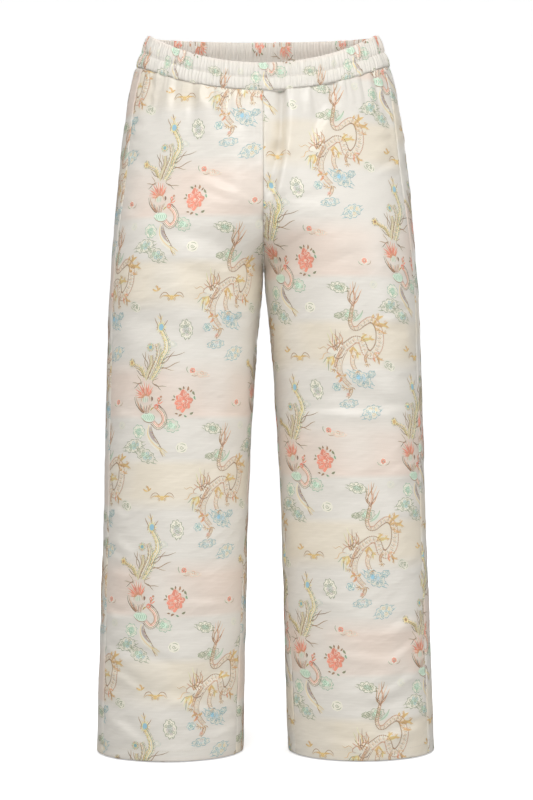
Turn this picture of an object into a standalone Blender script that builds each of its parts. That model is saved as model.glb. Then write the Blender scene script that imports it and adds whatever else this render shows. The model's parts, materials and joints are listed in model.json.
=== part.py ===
"""Straight-leg trousers in satin brocade, with a gathered elastic waistband.

The trousers keep the filled-out form that they have when worn. Each sewn piece is a closed wall of
cloth of its own: a front and a back waistband, two front legs and two back legs. They meet along
the side seams, the inseams, the front and back rise seams and the waist seam, a hair apart.

Metres, +Z up. The origin is the middle of the waist opening, level with the top of the side seams.
The front faces -Y. "Drop" is a height measured down from the origin.
"""

import math
from collections import namedtuple

import bmesh
import bpy
import numpy as np

# ---------------------------------------------------------------- driving dimensions

OUTSEAM = 1.010          # waist edge to hem, down the side
CROTCH_DROP = 0.335      # the four leg pieces meet here
FRONT_CURVE = 0.150      # height over which the front rise seam bends from the crotch to the front
BACK_CURVE = 0.120       # and the back rise seam to the back
SEAM_GAP = 0.0003        # between the edges of two neighbouring pieces

CLOTH = 0.0016           # wall of the legs
HEM_DEPTH = 0.016        # width of the turned-up hem
HEM_FOLD = 0.0014        # what the turned-up layer adds inside
BAND_WALL = 0.0026       # casing and elastic

BAND_SIDE = 0.045        # height of the waistband at the side seams
BAND_FRONT = 0.038       # and at the middle of the front
FRONT_DIP = 0.057        # how far the waist dips at the front
BACK_LIFT = 0.013        # how far it rises at the back
DIP_FADE = 0.125         # the rows of the legs are level again this far below the band

GATHER_PITCH = 0.0051    # one gather of the elastic
GATHER_DEPTH = 0.0008    # ridge and trough of a gather
CASING_PUFF = 0.0014     # how far the casing stands out between its rows of stitches
# The casing from edge to seam: each row is a place down it and its share of the puff.
CASING_ROWS = ((0.0, 0.0), (0.27, 1.0), (0.54, 0.1), (0.78, 1.0), (1.0, 0.0))
EASE_DEPTH = 0.0016      # the softer waves that the gathers leave in the legs
EASE_FADE = 0.070        # height in which those waves die out

WAIST_SEAM_TURN = math.radians(21)   # the side seam sits this far in front of the widest point
HEM_SEAM_TURN = math.radians(27)     # and this far at the hem
INSEAM_TURN = math.radians(25)       # the inseam comes forward by this much at the hem

FRONT_COLUMNS = 16
BACK_COLUMNS = 22

# The outline, one row for each section: widths and depths from the middle of the body.
Section = namedtuple("Section", "drop half_width front_depth back_depth half_gap")
SECTIONS = (
    Section(0.000, 0.1630, 0.100, 0.100, 0.0000),   # waist edge
    Section(0.045, 0.1790, 0.105, 0.107, 0.0000),   # bottom of the waistband
    Section(0.090, 0.1910, 0.109, 0.114, 0.0000),
    Section(0.150, 0.2000, 0.114, 0.122, 0.0000),
    Section(0.240, 0.2090, 0.117, 0.128, 0.0000),   # hip
    Section(0.335, 0.2168, 0.111, 0.122, 0.0002),   # crotch
    Section(0.380, 0.2200, 0.107, 0.117, 0.0040),
    Section(0.440, 0.2215, 0.102, 0.110, 0.0100),
    Section(0.510, 0.2240, 0.098, 0.103, 0.0149),
    Section(0.660, 0.2275, 0.093, 0.095, 0.0228),   # knee
    Section(0.800, 0.2325, 0.090, 0.091, 0.0264),
    Section(1.010, 0.2390, 0.088, 0.088, 0.0315),   # hem
)

# Rows of points down a leg piece, closer together round the crotch.
Rows = namedtuple("Rows", "start end count")
LEG_ROWS = (
    Rows(BAND_SIDE, 0.160, 5),
    Rows(0.160, CROTCH_DROP, 8),
    Rows(CROTCH_DROP, 0.400, 4),
    Rows(0.400, OUTSEAM - HEM_DEPTH - 0.0005, 9),
    Rows(OUTSEAM - HEM_DEPTH, OUTSEAM, 1),
)

# The largest folds. Across is the distance from the middle, positive to the wearer's left, and
# depth is how far the cloth sinks in. Side is -1 on the front and +1 on the back.
Fold = namedtuple("Fold", "side across drop across_end drop_end width depth")
FOLDS = (
    Fold(-1, 0.028, 0.095, 0.026, 0.150, 0.014, 0.0050),    # from the waist seam to the rise
    Fold(-1, 0.026, 0.150, 0.008, 0.215, 0.014, 0.0055),
    Fold(-1, -0.106, 0.090, -0.100, 0.150, 0.014, 0.0035),
    Fold(-1, 0.096, 0.085, 0.100, 0.130, 0.014, 0.0035),
    Fold(-1, -0.155, 0.085, -0.150, 0.135, 0.012, 0.0025),
    Fold(-1, 0.026, 0.322, 0.085, 0.280, 0.018, 0.0026),    # drag lines from the crotch
    Fold(-1, -0.026, 0.318, -0.090, 0.285, 0.018, 0.0026),
    Fold(-1, 0.070, 0.505, 0.205, 0.530, 0.016, 0.0025),    # creases across the legs
    Fold(-1, -0.200, 0.395, -0.060, 0.440, 0.018, 0.0022),
    Fold(-1, 0.150, 0.950, 0.215, 0.905, 0.018, 0.0025),
    Fold(-1, -0.215, 0.905, -0.150, 0.925, 0.018, 0.0022),
    Fold(1, 0.006, 0.060, 0.012, 0.150, 0.016, 0.0045),
    Fold(1, -0.070, 0.055, -0.062, 0.140, 0.016, 0.0040),
    Fold(1, 0.085, 0.060, 0.090, 0.130, 0.016, 0.0035),
    Fold(1, 0.030, 0.325, 0.125, 0.300, 0.020, 0.0022),     # drag lines behind
    Fold(1, -0.030, 0.330, -0.130, 0.308, 0.020, 0.0022),
    Fold(1, 0.060, 0.600, 0.190, 0.625, 0.018, 0.0025),
    Fold(1, -0.190, 0.585, -0.070, 0.615, 0.018, 0.0025),
    Fold(1, 0.070, 0.900, 0.160, 0.930, 0.018, 0.0022),
    Fold(1, -0.175, 0.930, -0.080, 0.900, 0.018, 0.0022),
)

IVORY = (0.80, 0.76, 0.68, 1.0)
PEARL = (0.83, 0.80, 0.74, 1.0)


# ---------------------------------------------------------------- curves through the outline

def smooth_step(value):
    """0 below 0, 1 above 1, with level ends."""
    clipped = np.clip(value, 0.0, 1.0)
    return clipped * clipped * (3.0 - 2.0 * clipped)


def along(column, drop):
    """A smooth curve through one column of SECTIONS, read at the given drops."""
    stations = np.array([section.drop for section in SECTIONS])
    values = np.array([getattr(section, column) for section in SECTIONS])
    slopes = np.gradient(values, stations)
    drop = np.clip(drop, stations[0], stations[-1])
    cell = np.clip(np.searchsorted(stations, drop) - 1, 0, len(stations) - 2)
    span = stations[cell + 1] - stations[cell]
    part = (drop - stations[cell]) / span
    start_value = (1 + 2 * part) * (1 - part) ** 2
    start_slope = part * (1 - part) ** 2
    end_value = part ** 2 * (3 - 2 * part)
    end_slope = part ** 2 * (part - 1)
    return (start_value * values[cell] + start_slope * span * slopes[cell]
            + end_value * values[cell + 1] + end_slope * span * slopes[cell + 1])


def oval(drop, at_front):
    """Centre and half-width of one leg's oval at a drop.

    Below the crotch it is the whole leg. Above it the oval widens past the middle plane, which
    cuts it along the rise seam, until at the hip it is half of the body.
    """
    outer = along("half_width", drop)
    gap = np.maximum(along("half_gap", drop), SEAM_GAP / 2)
    curve = np.where(at_front, FRONT_CURVE, BACK_CURVE)
    opened = smooth_step((CROTCH_DROP - drop) / curve) ** 0.75
    parted = 1.0 - opened
    inner = gap - (outer + gap) * (1.0 - parted) / (1.0 + parted)
    return (outer + inner) / 2, (outer - inner) / 2


def rise_angle(drop, at_front):
    """Where the middle plane cuts the oval: 0 at the crotch, a quarter turn at the hip."""
    centre, half_width = oval(drop, at_front)
    return np.arccos(np.clip((centre - SEAM_GAP / 2) / half_width, -1.0, 1.0))


def side_seam_angle(drop):
    turn = WAIST_SEAM_TURN + (HEM_SEAM_TURN - WAIST_SEAM_TURN) * smooth_step(drop / OUTSEAM)
    return math.pi - turn


def inseam_angle(drop):
    return INSEAM_TURN * smooth_step((drop - CROTCH_DROP) / (OUTSEAM - CROTCH_DROP))


def waist_edge(angle):
    """Drop of the waistband's top edge: it dips at the front and rises at the back."""
    reach = np.sin(angle)
    return np.where(reach > 0, FRONT_DIP * reach ** 2, BACK_LIFT * reach)


def waist_seam(angle):
    """Drop of the seam between the waistband and the legs."""
    reach = np.maximum(np.sin(angle), 0.0)
    return waist_edge(angle) + BAND_SIDE - (BAND_SIDE - BAND_FRONT) * reach ** 2


# ---------------------------------------------------------------- the surface of the trousers

def plain_point(angle, drop):
    """A point of the wearer's left half: angle 0 is the inside of the leg, 90 degrees the front."""
    reach = np.sin(angle)
    centre, half_width = oval(drop, reach > 0)
    depth = np.where(reach > 0, along("front_depth", drop), along("back_depth", drop))
    return np.stack([centre - half_width * np.cos(angle), -depth * reach, -drop], axis=-1)


def outward(angle, drop):
    """The direction that points straight out of the cloth."""
    step = 1e-4
    across = plain_point(angle + step, drop) - plain_point(angle - step, drop)
    down = plain_point(angle, drop + step) - plain_point(angle, drop - step)
    normal = np.cross(across, down)
    return -normal / np.linalg.norm(normal, axis=-1, keepdims=True)


def fold_depth(side, across, drop):
    """How far the folds of one side sink in at a place."""
    depth = np.zeros_like(across)
    for fold in FOLDS:
        if fold.side != side:
            continue
        start = np.array([fold.across, fold.drop])
        run = np.array([fold.across_end, fold.drop_end]) - start
        place = np.stack([across, drop], axis=-1) - start
        part = np.clip(place @ run / (run @ run), 0.0, 1.0)
        off = np.linalg.norm(place - part[..., None] * run, axis=-1)
        taper = 0.45 + 0.55 * np.sin(math.pi * part)
        depth += fold.depth * taper * np.exp(-(off / fold.width) ** 2)
    return depth


def leg_surface(mirror, angle, drop, seam_fade, ease):
    """Outer points and outward directions of a leg piece, with its folds."""
    points = plain_point(angle, drop)
    normals = outward(angle, drop)
    front = fold_depth(-1, mirror * points[..., 0], drop)
    back = fold_depth(1, mirror * points[..., 0], drop)
    sunk = np.where(np.sin(angle) > 0, front, back) * seam_fade
    points = points + normals * (ease - sunk)[..., None]
    points[..., 0] = np.maximum(points[..., 0], SEAM_GAP / 2)
    return points, normals


# ---------------------------------------------------------------- walls of cloth

def mesh_object(name, points, faces, colour, collection):
    """A named object with its own satin material, from points and faces."""
    mesh = bpy.data.meshes.new(name)
    mesh.from_pydata([tuple(point) for point in points], [], faces)
    shaper = bmesh.new()
    shaper.from_mesh(mesh)
    bmesh.ops.recalc_face_normals(shaper, faces=shaper.faces)
    bmesh.ops.triangulate(shaper, faces=[face for face in shaper.faces if len(face.verts) > 3])
    shaper.to_mesh(mesh)
    shaper.free()
    mesh.shade_smooth()
    mesh.set_sharp_from_angle(angle=math.radians(50))
    material = bpy.data.materials.new(name)
    material.use_nodes = True
    finish = material.node_tree.nodes["Principled BSDF"]
    finish.inputs["Base Color"].default_value = colour
    finish.inputs["Roughness"].default_value = 0.42
    finish.inputs["Metallic"].default_value = 0.0
    mesh.materials.append(material)
    cloth = bpy.data.objects.new(name, mesh)
    collection.objects.link(cloth)
    return cloth


def cloth_wall(name, outer, inner, colour, collection):
    """A closed wall between an outer and an inner grid, which may have different row counts."""
    outer_rows, columns = outer.shape[:2]
    inner_rows = inner.shape[0]
    points = np.concatenate([outer.reshape(-1, 3), inner.reshape(-1, 3)])

    def out_at(row, column):
        return row * columns + column

    def in_at(row, column):
        return outer_rows * columns + row * columns + column

    faces = []
    for rows, at, flip in ((outer_rows, out_at, False), (inner_rows, in_at, True)):
        for row in range(rows - 1):
            for column in range(columns - 1):
                a, b = at(row, column), at(row, column + 1)
                c, d = at(row + 1, column + 1), at(row + 1, column)
                pair = [(a, b, c), (a, c, d)]
                faces += [face[::-1] for face in pair] if flip else pair
    for column in range(columns - 1):
        faces.append((in_at(0, column), in_at(0, column + 1), out_at(0, column + 1), out_at(0, column)))
        faces.append((out_at(outer_rows - 1, column), out_at(outer_rows - 1, column + 1),
                      in_at(inner_rows - 1, column + 1), in_at(inner_rows - 1, column)))
    for column in (0, columns - 1):
        if outer_rows == inner_rows:
            for row in range(outer_rows - 1):
                faces.append((out_at(row, column), out_at(row + 1, column),
                              in_at(row + 1, column), in_at(row, column)))
        else:
            ring = [out_at(row, column) for row in range(outer_rows)]
            ring += [in_at(row, column) for row in reversed(range(inner_rows))]
            faces.append(tuple(ring))
    return mesh_object(name, points, faces, colour, collection)


def leg_levels():
    levels = []
    for rows in LEG_ROWS:
        levels += list(np.linspace(rows.start, rows.end, rows.count + 1))
    return np.unique(np.round(levels, 6))


def leg_piece(name, mirror, is_front, colour, collection):
    """One of the four leg pieces, from the waist seam to the hem."""
    columns = FRONT_COLUMNS if is_front else BACK_COLUMNS
    level = leg_levels()[:, None]
    part = np.linspace(0.0, 1.0, columns + 1)[None, :]

    # The inner edge is the rise seam above the crotch and the inseam below it.
    above = level < CROTCH_DROP
    rise = rise_angle(level, is_front)
    inseam = inseam_angle(level)
    half_gap = SEAM_GAP / 2 / along("front_depth", level)
    if is_front:
        start = np.where(above, rise, inseam + half_gap)
        end = side_seam_angle(level) - half_gap
    else:
        start = np.where(above, -rise, inseam - half_gap)
        end = side_seam_angle(level) - 2 * math.pi + half_gap
    angle = start + (end - start) * part

    # The top rows follow the waist seam and become level further down.
    follow = 1.0 - smooth_step((level - BAND_SIDE) / DIP_FADE)
    drop = level + (waist_seam(angle) - BAND_SIDE) * follow
    drop = drop + SEAM_GAP * (level == level[0])

    # Waves let out of the gathers, one for each pair of columns and no two of one height.
    column = np.arange(columns + 1)[None, :]
    uneven = 0.65 + 0.35 * np.sin(2.3 * column + 1.7 * mirror + 0.8 * is_front)
    wave = EASE_DEPTH * uneven * (-1.0) ** column
    wave = wave * (1.0 - smooth_step((level - BAND_SIDE) / (EASE_FADE * (0.6 + 0.6 * uneven))))
    at_seam = smooth_step(np.minimum(part, 1.0 - part) * 6.0)
    side_fade = smooth_step((1.0 - part) * 8.0)

    outer, normals = leg_surface(mirror, angle, drop, side_fade, wave * at_seam)
    wall = np.where(level >= OUTSEAM - HEM_DEPTH, CLOTH + HEM_FOLD, CLOTH)
    inner = outer - normals * wall[..., None]
    for edge in (0, -1):
        outer[edge, :, 2] = -drop[edge]
        inner[edge, :, 2] = -drop[edge]
    sign = np.array([mirror, 1.0, 1.0])
    return cloth_wall(name, outer * sign, inner * sign, colour, collection)


def waistband_angles(is_front):
    """Even steps along the band, two for each gather, from side seam to side seam."""
    seam = side_seam_angle(BAND_SIDE)
    first, last = (math.pi - seam, seam) if is_front else (3 * math.pi - seam, seam)
    fine = np.linspace(first, last, 2001)
    line = plain_point_of_band(fine, 0.5)
    length = np.concatenate([[0.0], np.cumsum(np.linalg.norm(np.diff(line, axis=0), axis=1))])
    gathers = int(round(length[-1] / GATHER_PITCH))
    places = np.linspace(SEAM_GAP / 2, length[-1] - SEAM_GAP / 2, 2 * gathers + 1)
    return np.interp(places, length, fine), gathers


def plain_point_of_band(angle, share):
    """A point of the waistband without its gathers; share is 0 at the top edge, 1 at the seam."""
    top, bottom = waist_edge(angle), waist_seam(angle)
    drop = top + (bottom - top) * share
    width = along("half_width", drop)
    reach = np.sin(angle)
    depth = np.where(reach > 0, along("front_depth", drop), along("back_depth", drop))
    return np.stack([-width * np.cos(angle), -depth * reach, -drop], axis=-1)


def waistband(name, is_front, colour, collection):
    """A gathered casing: two puffed channels with a row of stitches between them."""
    angle, gathers = waistband_angles(is_front)
    column = np.arange(len(angle))
    uneven = 0.75 + 0.25 * np.sin(1.9 * column + is_front) * np.sin(0.37 * column)
    ridge = GATHER_DEPTH * uneven * np.where(column % 2 == 0, -1.0, 1.0)
    ridge[[0, -1]] = 0.0
    outer, inner = [], []
    for share, puff in CASING_ROWS:
        line = plain_point_of_band(angle, share)
        ahead = plain_point_of_band(angle + 1e-3, share) - plain_point_of_band(angle - 1e-3, share)
        below = plain_point_of_band(angle, share + 0.05) - plain_point_of_band(angle, share - 0.05)
        normal = np.cross(below, ahead)
        normal /= np.linalg.norm(normal, axis=1, keepdims=True)
        normal *= np.sign(np.sum(normal[:, :2] * line[:, :2], axis=1))[:, None]
        outer.append(line + normal * (CASING_PUFF * puff + ridge * (0.6 + 0.4 * puff))[:, None])
        if share in (0.0, 1.0):
            level_normal = normal * np.array([1.0, 1.0, 0.0])
            level_normal /= np.linalg.norm(level_normal, axis=1, keepdims=True)
            outer[-1] = line + level_normal * (ridge * 0.6)[:, None]
            inner.append(line - level_normal * BAND_WALL)
    print(f"{name}: {gathers} gathers")
    return cloth_wall(name, np.array(outer), np.array(inner), colour, collection)


# ---------------------------------------------------------------- the trousers

def main():
    for leftover in list(bpy.data.objects):
        bpy.data.objects.remove(leftover, do_unlink=True)
    trousers = bpy.data.collections.new("straight_leg_trousers")
    bpy.context.scene.collection.children.link(trousers)
    waistband("waistband_front", True, PEARL, trousers)
    waistband("waistband_back", False, PEARL, trousers)
    for side, mirror in (("left", 1.0), ("right", -1.0)):
        leg_piece(f"front_{side}", mirror, True, IVORY, trousers)
        leg_piece(f"back_{side}", mirror, False, IVORY, trousers)
    for piece in trousers.objects:
        print(f"{piece.name}: {len(piece.data.polygons)} triangles")


main()
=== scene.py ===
# %% [markdown]
# # Straight-leg trousers in satin brocade
# The trousers are sewn from six pieces of cloth: a front and a back for each leg, and a gathered
# waistband in two parts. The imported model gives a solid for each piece, and this lesson dresses
# them: thin sheets of satin with folds, the woven figures, the sewing and the studio round them.
# Everything is in metres, +Z up, the front towards -Y. A "drop" is a height measured down from
# the origin at the waist.

import json
import math
from collections import namedtuple

import bmesh
import bpy
import numpy as np
from mathutils import Matrix, Vector
from mathutils.bvhtree import BVHTree

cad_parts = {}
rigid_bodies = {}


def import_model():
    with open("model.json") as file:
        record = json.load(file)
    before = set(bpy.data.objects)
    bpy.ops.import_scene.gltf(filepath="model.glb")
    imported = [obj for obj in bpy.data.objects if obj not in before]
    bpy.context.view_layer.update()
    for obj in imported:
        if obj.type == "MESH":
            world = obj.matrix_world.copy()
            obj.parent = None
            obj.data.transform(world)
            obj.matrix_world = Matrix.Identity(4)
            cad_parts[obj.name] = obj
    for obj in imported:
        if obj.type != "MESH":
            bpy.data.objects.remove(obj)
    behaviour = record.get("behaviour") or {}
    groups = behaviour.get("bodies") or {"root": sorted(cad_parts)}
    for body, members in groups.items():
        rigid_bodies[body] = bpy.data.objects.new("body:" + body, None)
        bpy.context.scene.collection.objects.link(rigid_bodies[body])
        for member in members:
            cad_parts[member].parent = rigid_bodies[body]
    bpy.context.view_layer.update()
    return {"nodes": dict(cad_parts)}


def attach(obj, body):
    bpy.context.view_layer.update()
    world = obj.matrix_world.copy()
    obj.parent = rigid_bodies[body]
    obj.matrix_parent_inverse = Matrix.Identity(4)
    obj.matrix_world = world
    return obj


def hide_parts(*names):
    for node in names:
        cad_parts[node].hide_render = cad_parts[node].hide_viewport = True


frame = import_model()
print("solids to dress:", sorted(frame["nodes"]))

# %% [markdown]
# ## Camera
# The trousers hang upright and face a level camera, a little over two of their lengths away, which
# keeps the hems and the waist nearly flat in the view. The photograph leans by a fifth of a
# degree, so the camera does too. The lens is given for the long side of an upright picture.

# %% Camera
CAMERA_AT = (0.0032, -2.4, -0.5155)  # level with the middle of the trousers
CAMERA_LEAN = math.radians(0.2)
LENS_MM = 76.06
SENSOR_MM = 36.0

def add_object(name, data):
    """A new object in the scene for a mesh, a camera or a lamp."""
    made = bpy.data.objects.new(name, data)
    bpy.context.scene.collection.objects.link(made)
    return made


camera_data = bpy.data.cameras.new("camera")
camera_data.sensor_fit = "VERTICAL"
camera_data.sensor_height = SENSOR_MM
camera_data.lens = LENS_MM
camera = add_object("camera", camera_data)
camera.location = CAMERA_AT
camera.rotation_euler = (math.radians(90), CAMERA_LEAN, 0.0)
bpy.context.scene.camera = camera
print("camera", round(-CAMERA_AT[1], 2), "m in front of the trousers")

# %% [markdown]
# ## Sizes
# The same driving sizes as in the solids, so that the cloth lies on their form: the outline as a
# short table of sections, the waist that dips at the front, the hems and the seams.

# %% Sizes
OUTSEAM = 1.010  # waist edge to hem, down the side
CROTCH_DROP = 0.335
FRONT_CURVE = 0.150  # height over which the front rise seam bends from the crotch to the front
BACK_CURVE = 0.120  # and the same for the back
SEAM_GAP = 0.0003  # room left between two pieces that are sewn together
HEM_DEPTH = 0.016  # height of the cloth that is turned up
BAND_WALL = 0.0026  # outside to inside of the waistband
BAND_SIDE = 0.045  # height of the waistband at the sides
BAND_FRONT = 0.038  # and at the middle of the front
FRONT_DIP = 0.057  # how far the waist hangs down at the front
BACK_LIFT = 0.013  # and stands up at the back
DIP_FADE = 0.125  # height over which the rows of the legs become level
GATHER_PITCH = 0.0051
GATHER_DEPTH = 0.0012
CASING_PUFF = 0.0014  # how far each channel of the waistband bulges
EASE_DEPTH = 0.0021  # the gathers let out below the waistband
EASE_FADE = 0.070  # and the height over which they die out
WAIST_SEAM_TURN = math.radians(21)  # how far the side seam lies in front of the outermost line
HEM_SEAM_TURN = math.radians(27)
INSEAM_TURN = math.radians(25)
FRONT_WAVES = 16  # half waves across a front panel
BACK_WAVES = 22

Section = namedtuple("Section", "drop half_width front_depth back_depth half_gap")
SECTIONS = (
    Section(0.000, 0.1630, 0.100, 0.100, 0.0000),  # waist edge
    Section(0.045, 0.1790, 0.105, 0.107, 0.0000),
    Section(0.090, 0.1910, 0.109, 0.114, 0.0000),
    Section(0.150, 0.2000, 0.114, 0.122, 0.0000),
    Section(0.240, 0.2090, 0.117, 0.128, 0.0000),  # hip
    Section(0.335, 0.2168, 0.111, 0.122, 0.0002),  # crotch
    Section(0.380, 0.2200, 0.107, 0.117, 0.0040),
    Section(0.440, 0.2215, 0.102, 0.110, 0.0100),
    Section(0.510, 0.2240, 0.098, 0.103, 0.0149),
    Section(0.660, 0.2275, 0.093, 0.095, 0.0228),  # knee
    Section(0.800, 0.2325, 0.090, 0.091, 0.0264),
    Section(1.010, 0.2390, 0.088, 0.088, 0.0315),  # hem
)
print(len(SECTIONS), "sections from waist to hem")

# %% [markdown]
# ## The outline as functions
# Each half of the trousers is one oval that slides down: below the crotch it is the whole leg, and
# above it widens until the middle plane cuts it in half at the hip. An angle of 0 is the inside of
# the leg, a quarter turn is the front. All the functions take whole arrays, so that one call
# places every point of a panel.

# %% Outline
RISE_SHAPE = 0.75  # how fast the two legs part at the crotch


def smooth_step(value):
    """0 below 0, 1 above 1, with level ends."""
    clipped = np.clip(value, 0.0, 1.0)
    return clipped * clipped * (3.0 - 2.0 * clipped)


def along(column, drop):
    """A smooth curve through one column of SECTIONS, read at the given drops."""
    stations = np.array([section.drop for section in SECTIONS])
    values = np.array([getattr(section, column) for section in SECTIONS])
    slopes = np.gradient(values, stations)
    drop = np.clip(drop, stations[0], stations[-1])
    cell = np.clip(np.searchsorted(stations, drop) - 1, 0, len(stations) - 2)
    span = stations[cell + 1] - stations[cell]
    part = (drop - stations[cell]) / span
    start_value = (1 + 2 * part) * (1 - part) ** 2
    start_slope = part * (1 - part) ** 2
    end_value = part ** 2 * (3 - 2 * part)
    end_slope = part ** 2 * (part - 1)
    return (start_value * values[cell] + start_slope * span * slopes[cell]
            + end_value * values[cell + 1] + end_slope * span * slopes[cell + 1])


def oval(drop, at_front):
    """Centre and half-width of one leg's oval."""
    outer = along("half_width", drop)
    gap = np.maximum(along("half_gap", drop), SEAM_GAP / 2)
    curve = np.where(at_front, FRONT_CURVE, BACK_CURVE)
    opened = smooth_step((CROTCH_DROP - drop) / curve) ** RISE_SHAPE
    parted = 1.0 - opened
    inner = gap - (outer + gap) * (1.0 - parted) / (1.0 + parted)
    return (outer + inner) / 2, (outer - inner) / 2


def rise_angle(drop, at_front):
    """Where the oval of one leg meets the middle plane."""
    centre, half_width = oval(drop, at_front)
    return np.arccos(np.clip((centre - SEAM_GAP / 2) / half_width, -1.0, 1.0))


def side_seam_angle(drop):
    """The side seam lies forward of the outermost line, and more so at the hem."""
    turn = WAIST_SEAM_TURN + (HEM_SEAM_TURN - WAIST_SEAM_TURN) * smooth_step(drop / OUTSEAM)
    return math.pi - turn


def inseam_angle(drop):
    """The inseam turns towards the front on its way down."""
    return INSEAM_TURN * smooth_step((drop - CROTCH_DROP) / (OUTSEAM - CROTCH_DROP))


def waist_edge(angle):
    """Drop of the waistband's top edge."""
    reach = np.sin(angle)
    return np.where(reach > 0, FRONT_DIP * reach ** 2, BACK_LIFT * reach)


def waist_seam(angle):
    """Drop of the seam between the waistband and the legs."""
    reach = np.maximum(np.sin(angle), 0.0)
    return waist_edge(angle) + BAND_SIDE - (BAND_SIDE - BAND_FRONT) * reach ** 2


def plain_point(angle, drop):
    """A point of the wearer's left half before any fold."""
    reach = np.sin(angle)
    centre, half_width = oval(drop, reach > 0)
    depth = np.where(reach > 0, along("front_depth", drop), along("back_depth", drop))
    return np.stack([centre - half_width * np.cos(angle), -depth * reach, -drop], axis=-1)


def outward(angle, drop):
    """The direction that points straight out of the cloth."""
    step = 1e-4
    across = plain_point(angle + step, drop) - plain_point(angle - step, drop)
    down = plain_point(angle, drop + step) - plain_point(angle, drop - step)
    normal = np.cross(across, down)
    return -normal / np.linalg.norm(normal, axis=-1, keepdims=True)


for drop in (0.24, 0.66, 1.01):
    print("drop", drop, "oval centre and half-width", [round(float(v), 4) for v in oval(drop, True)])

# %% [markdown]
# ## Folds
# Satin is light and stiff, so it breaks into soft troughs with a low ridge beside them. Each fold
# is one row of a table: which side (-1 is the front), where it starts and ends, how wide and how
# deep it is, and how much its line bows. These are the large ones, as in the solids: gathers let
# out below the waistband, drag lines from the crotch, and broad bends across the legs.

# %% Large folds
Fold = namedtuple("Fold", "side across drop across_end drop_end width depth bow", defaults=(0.0,))
FOLDS = [Fold(*row) for row in (
    (-1, 0.027, 0.086, 0.024, 0.15, 0.008, 0.0062), (-1, 0.024, 0.15, 0.004, 0.24, 0.01, 0.007),
    (-1, -0.02, 0.16, -0.012, 0.27, 0.014, 0.003), (-1, -0.106, 0.09, -0.1, 0.15, 0.014, 0.0035),
    (-1, 0.096, 0.085, 0.1, 0.13, 0.014, 0.0035), (-1, -0.155, 0.085, -0.15, 0.135, 0.012, 0.0025),
    (-1, 0.026, 0.322, 0.085, 0.28, 0.018, 0.0026), (-1, -0.026, 0.318, -0.09, 0.285, 0.018, 0.0026),
    (-1, 0.07, 0.505, 0.205, 0.53, 0.016, 0.0025), (-1, -0.2, 0.395, -0.06, 0.44, 0.018, 0.0022),
    (-1, 0.15, 0.95, 0.215, 0.905, 0.018, 0.0025), (-1, -0.215, 0.905, -0.15, 0.925, 0.018, 0.0022),
    (1, 0.006, 0.06, 0.012, 0.15, 0.016, 0.0045), (1, -0.07, 0.055, -0.062, 0.14, 0.016, 0.004),
    (1, 0.085, 0.06, 0.09, 0.13, 0.016, 0.0035), (1, 0.03, 0.325, 0.125, 0.3, 0.02, 0.0022),
    (1, -0.03, 0.33, -0.13, 0.308, 0.02, 0.0022), (1, 0.06, 0.6, 0.19, 0.625, 0.018, 0.0025),
    (1, -0.19, 0.585, -0.07, 0.615, 0.018, 0.0025), (1, 0.07, 0.9, 0.16, 0.93, 0.018, 0.0022),
    (1, -0.175, 0.93, -0.08, 0.9, 0.018, 0.0022),
)]
print(len(FOLDS), "large folds")
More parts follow.
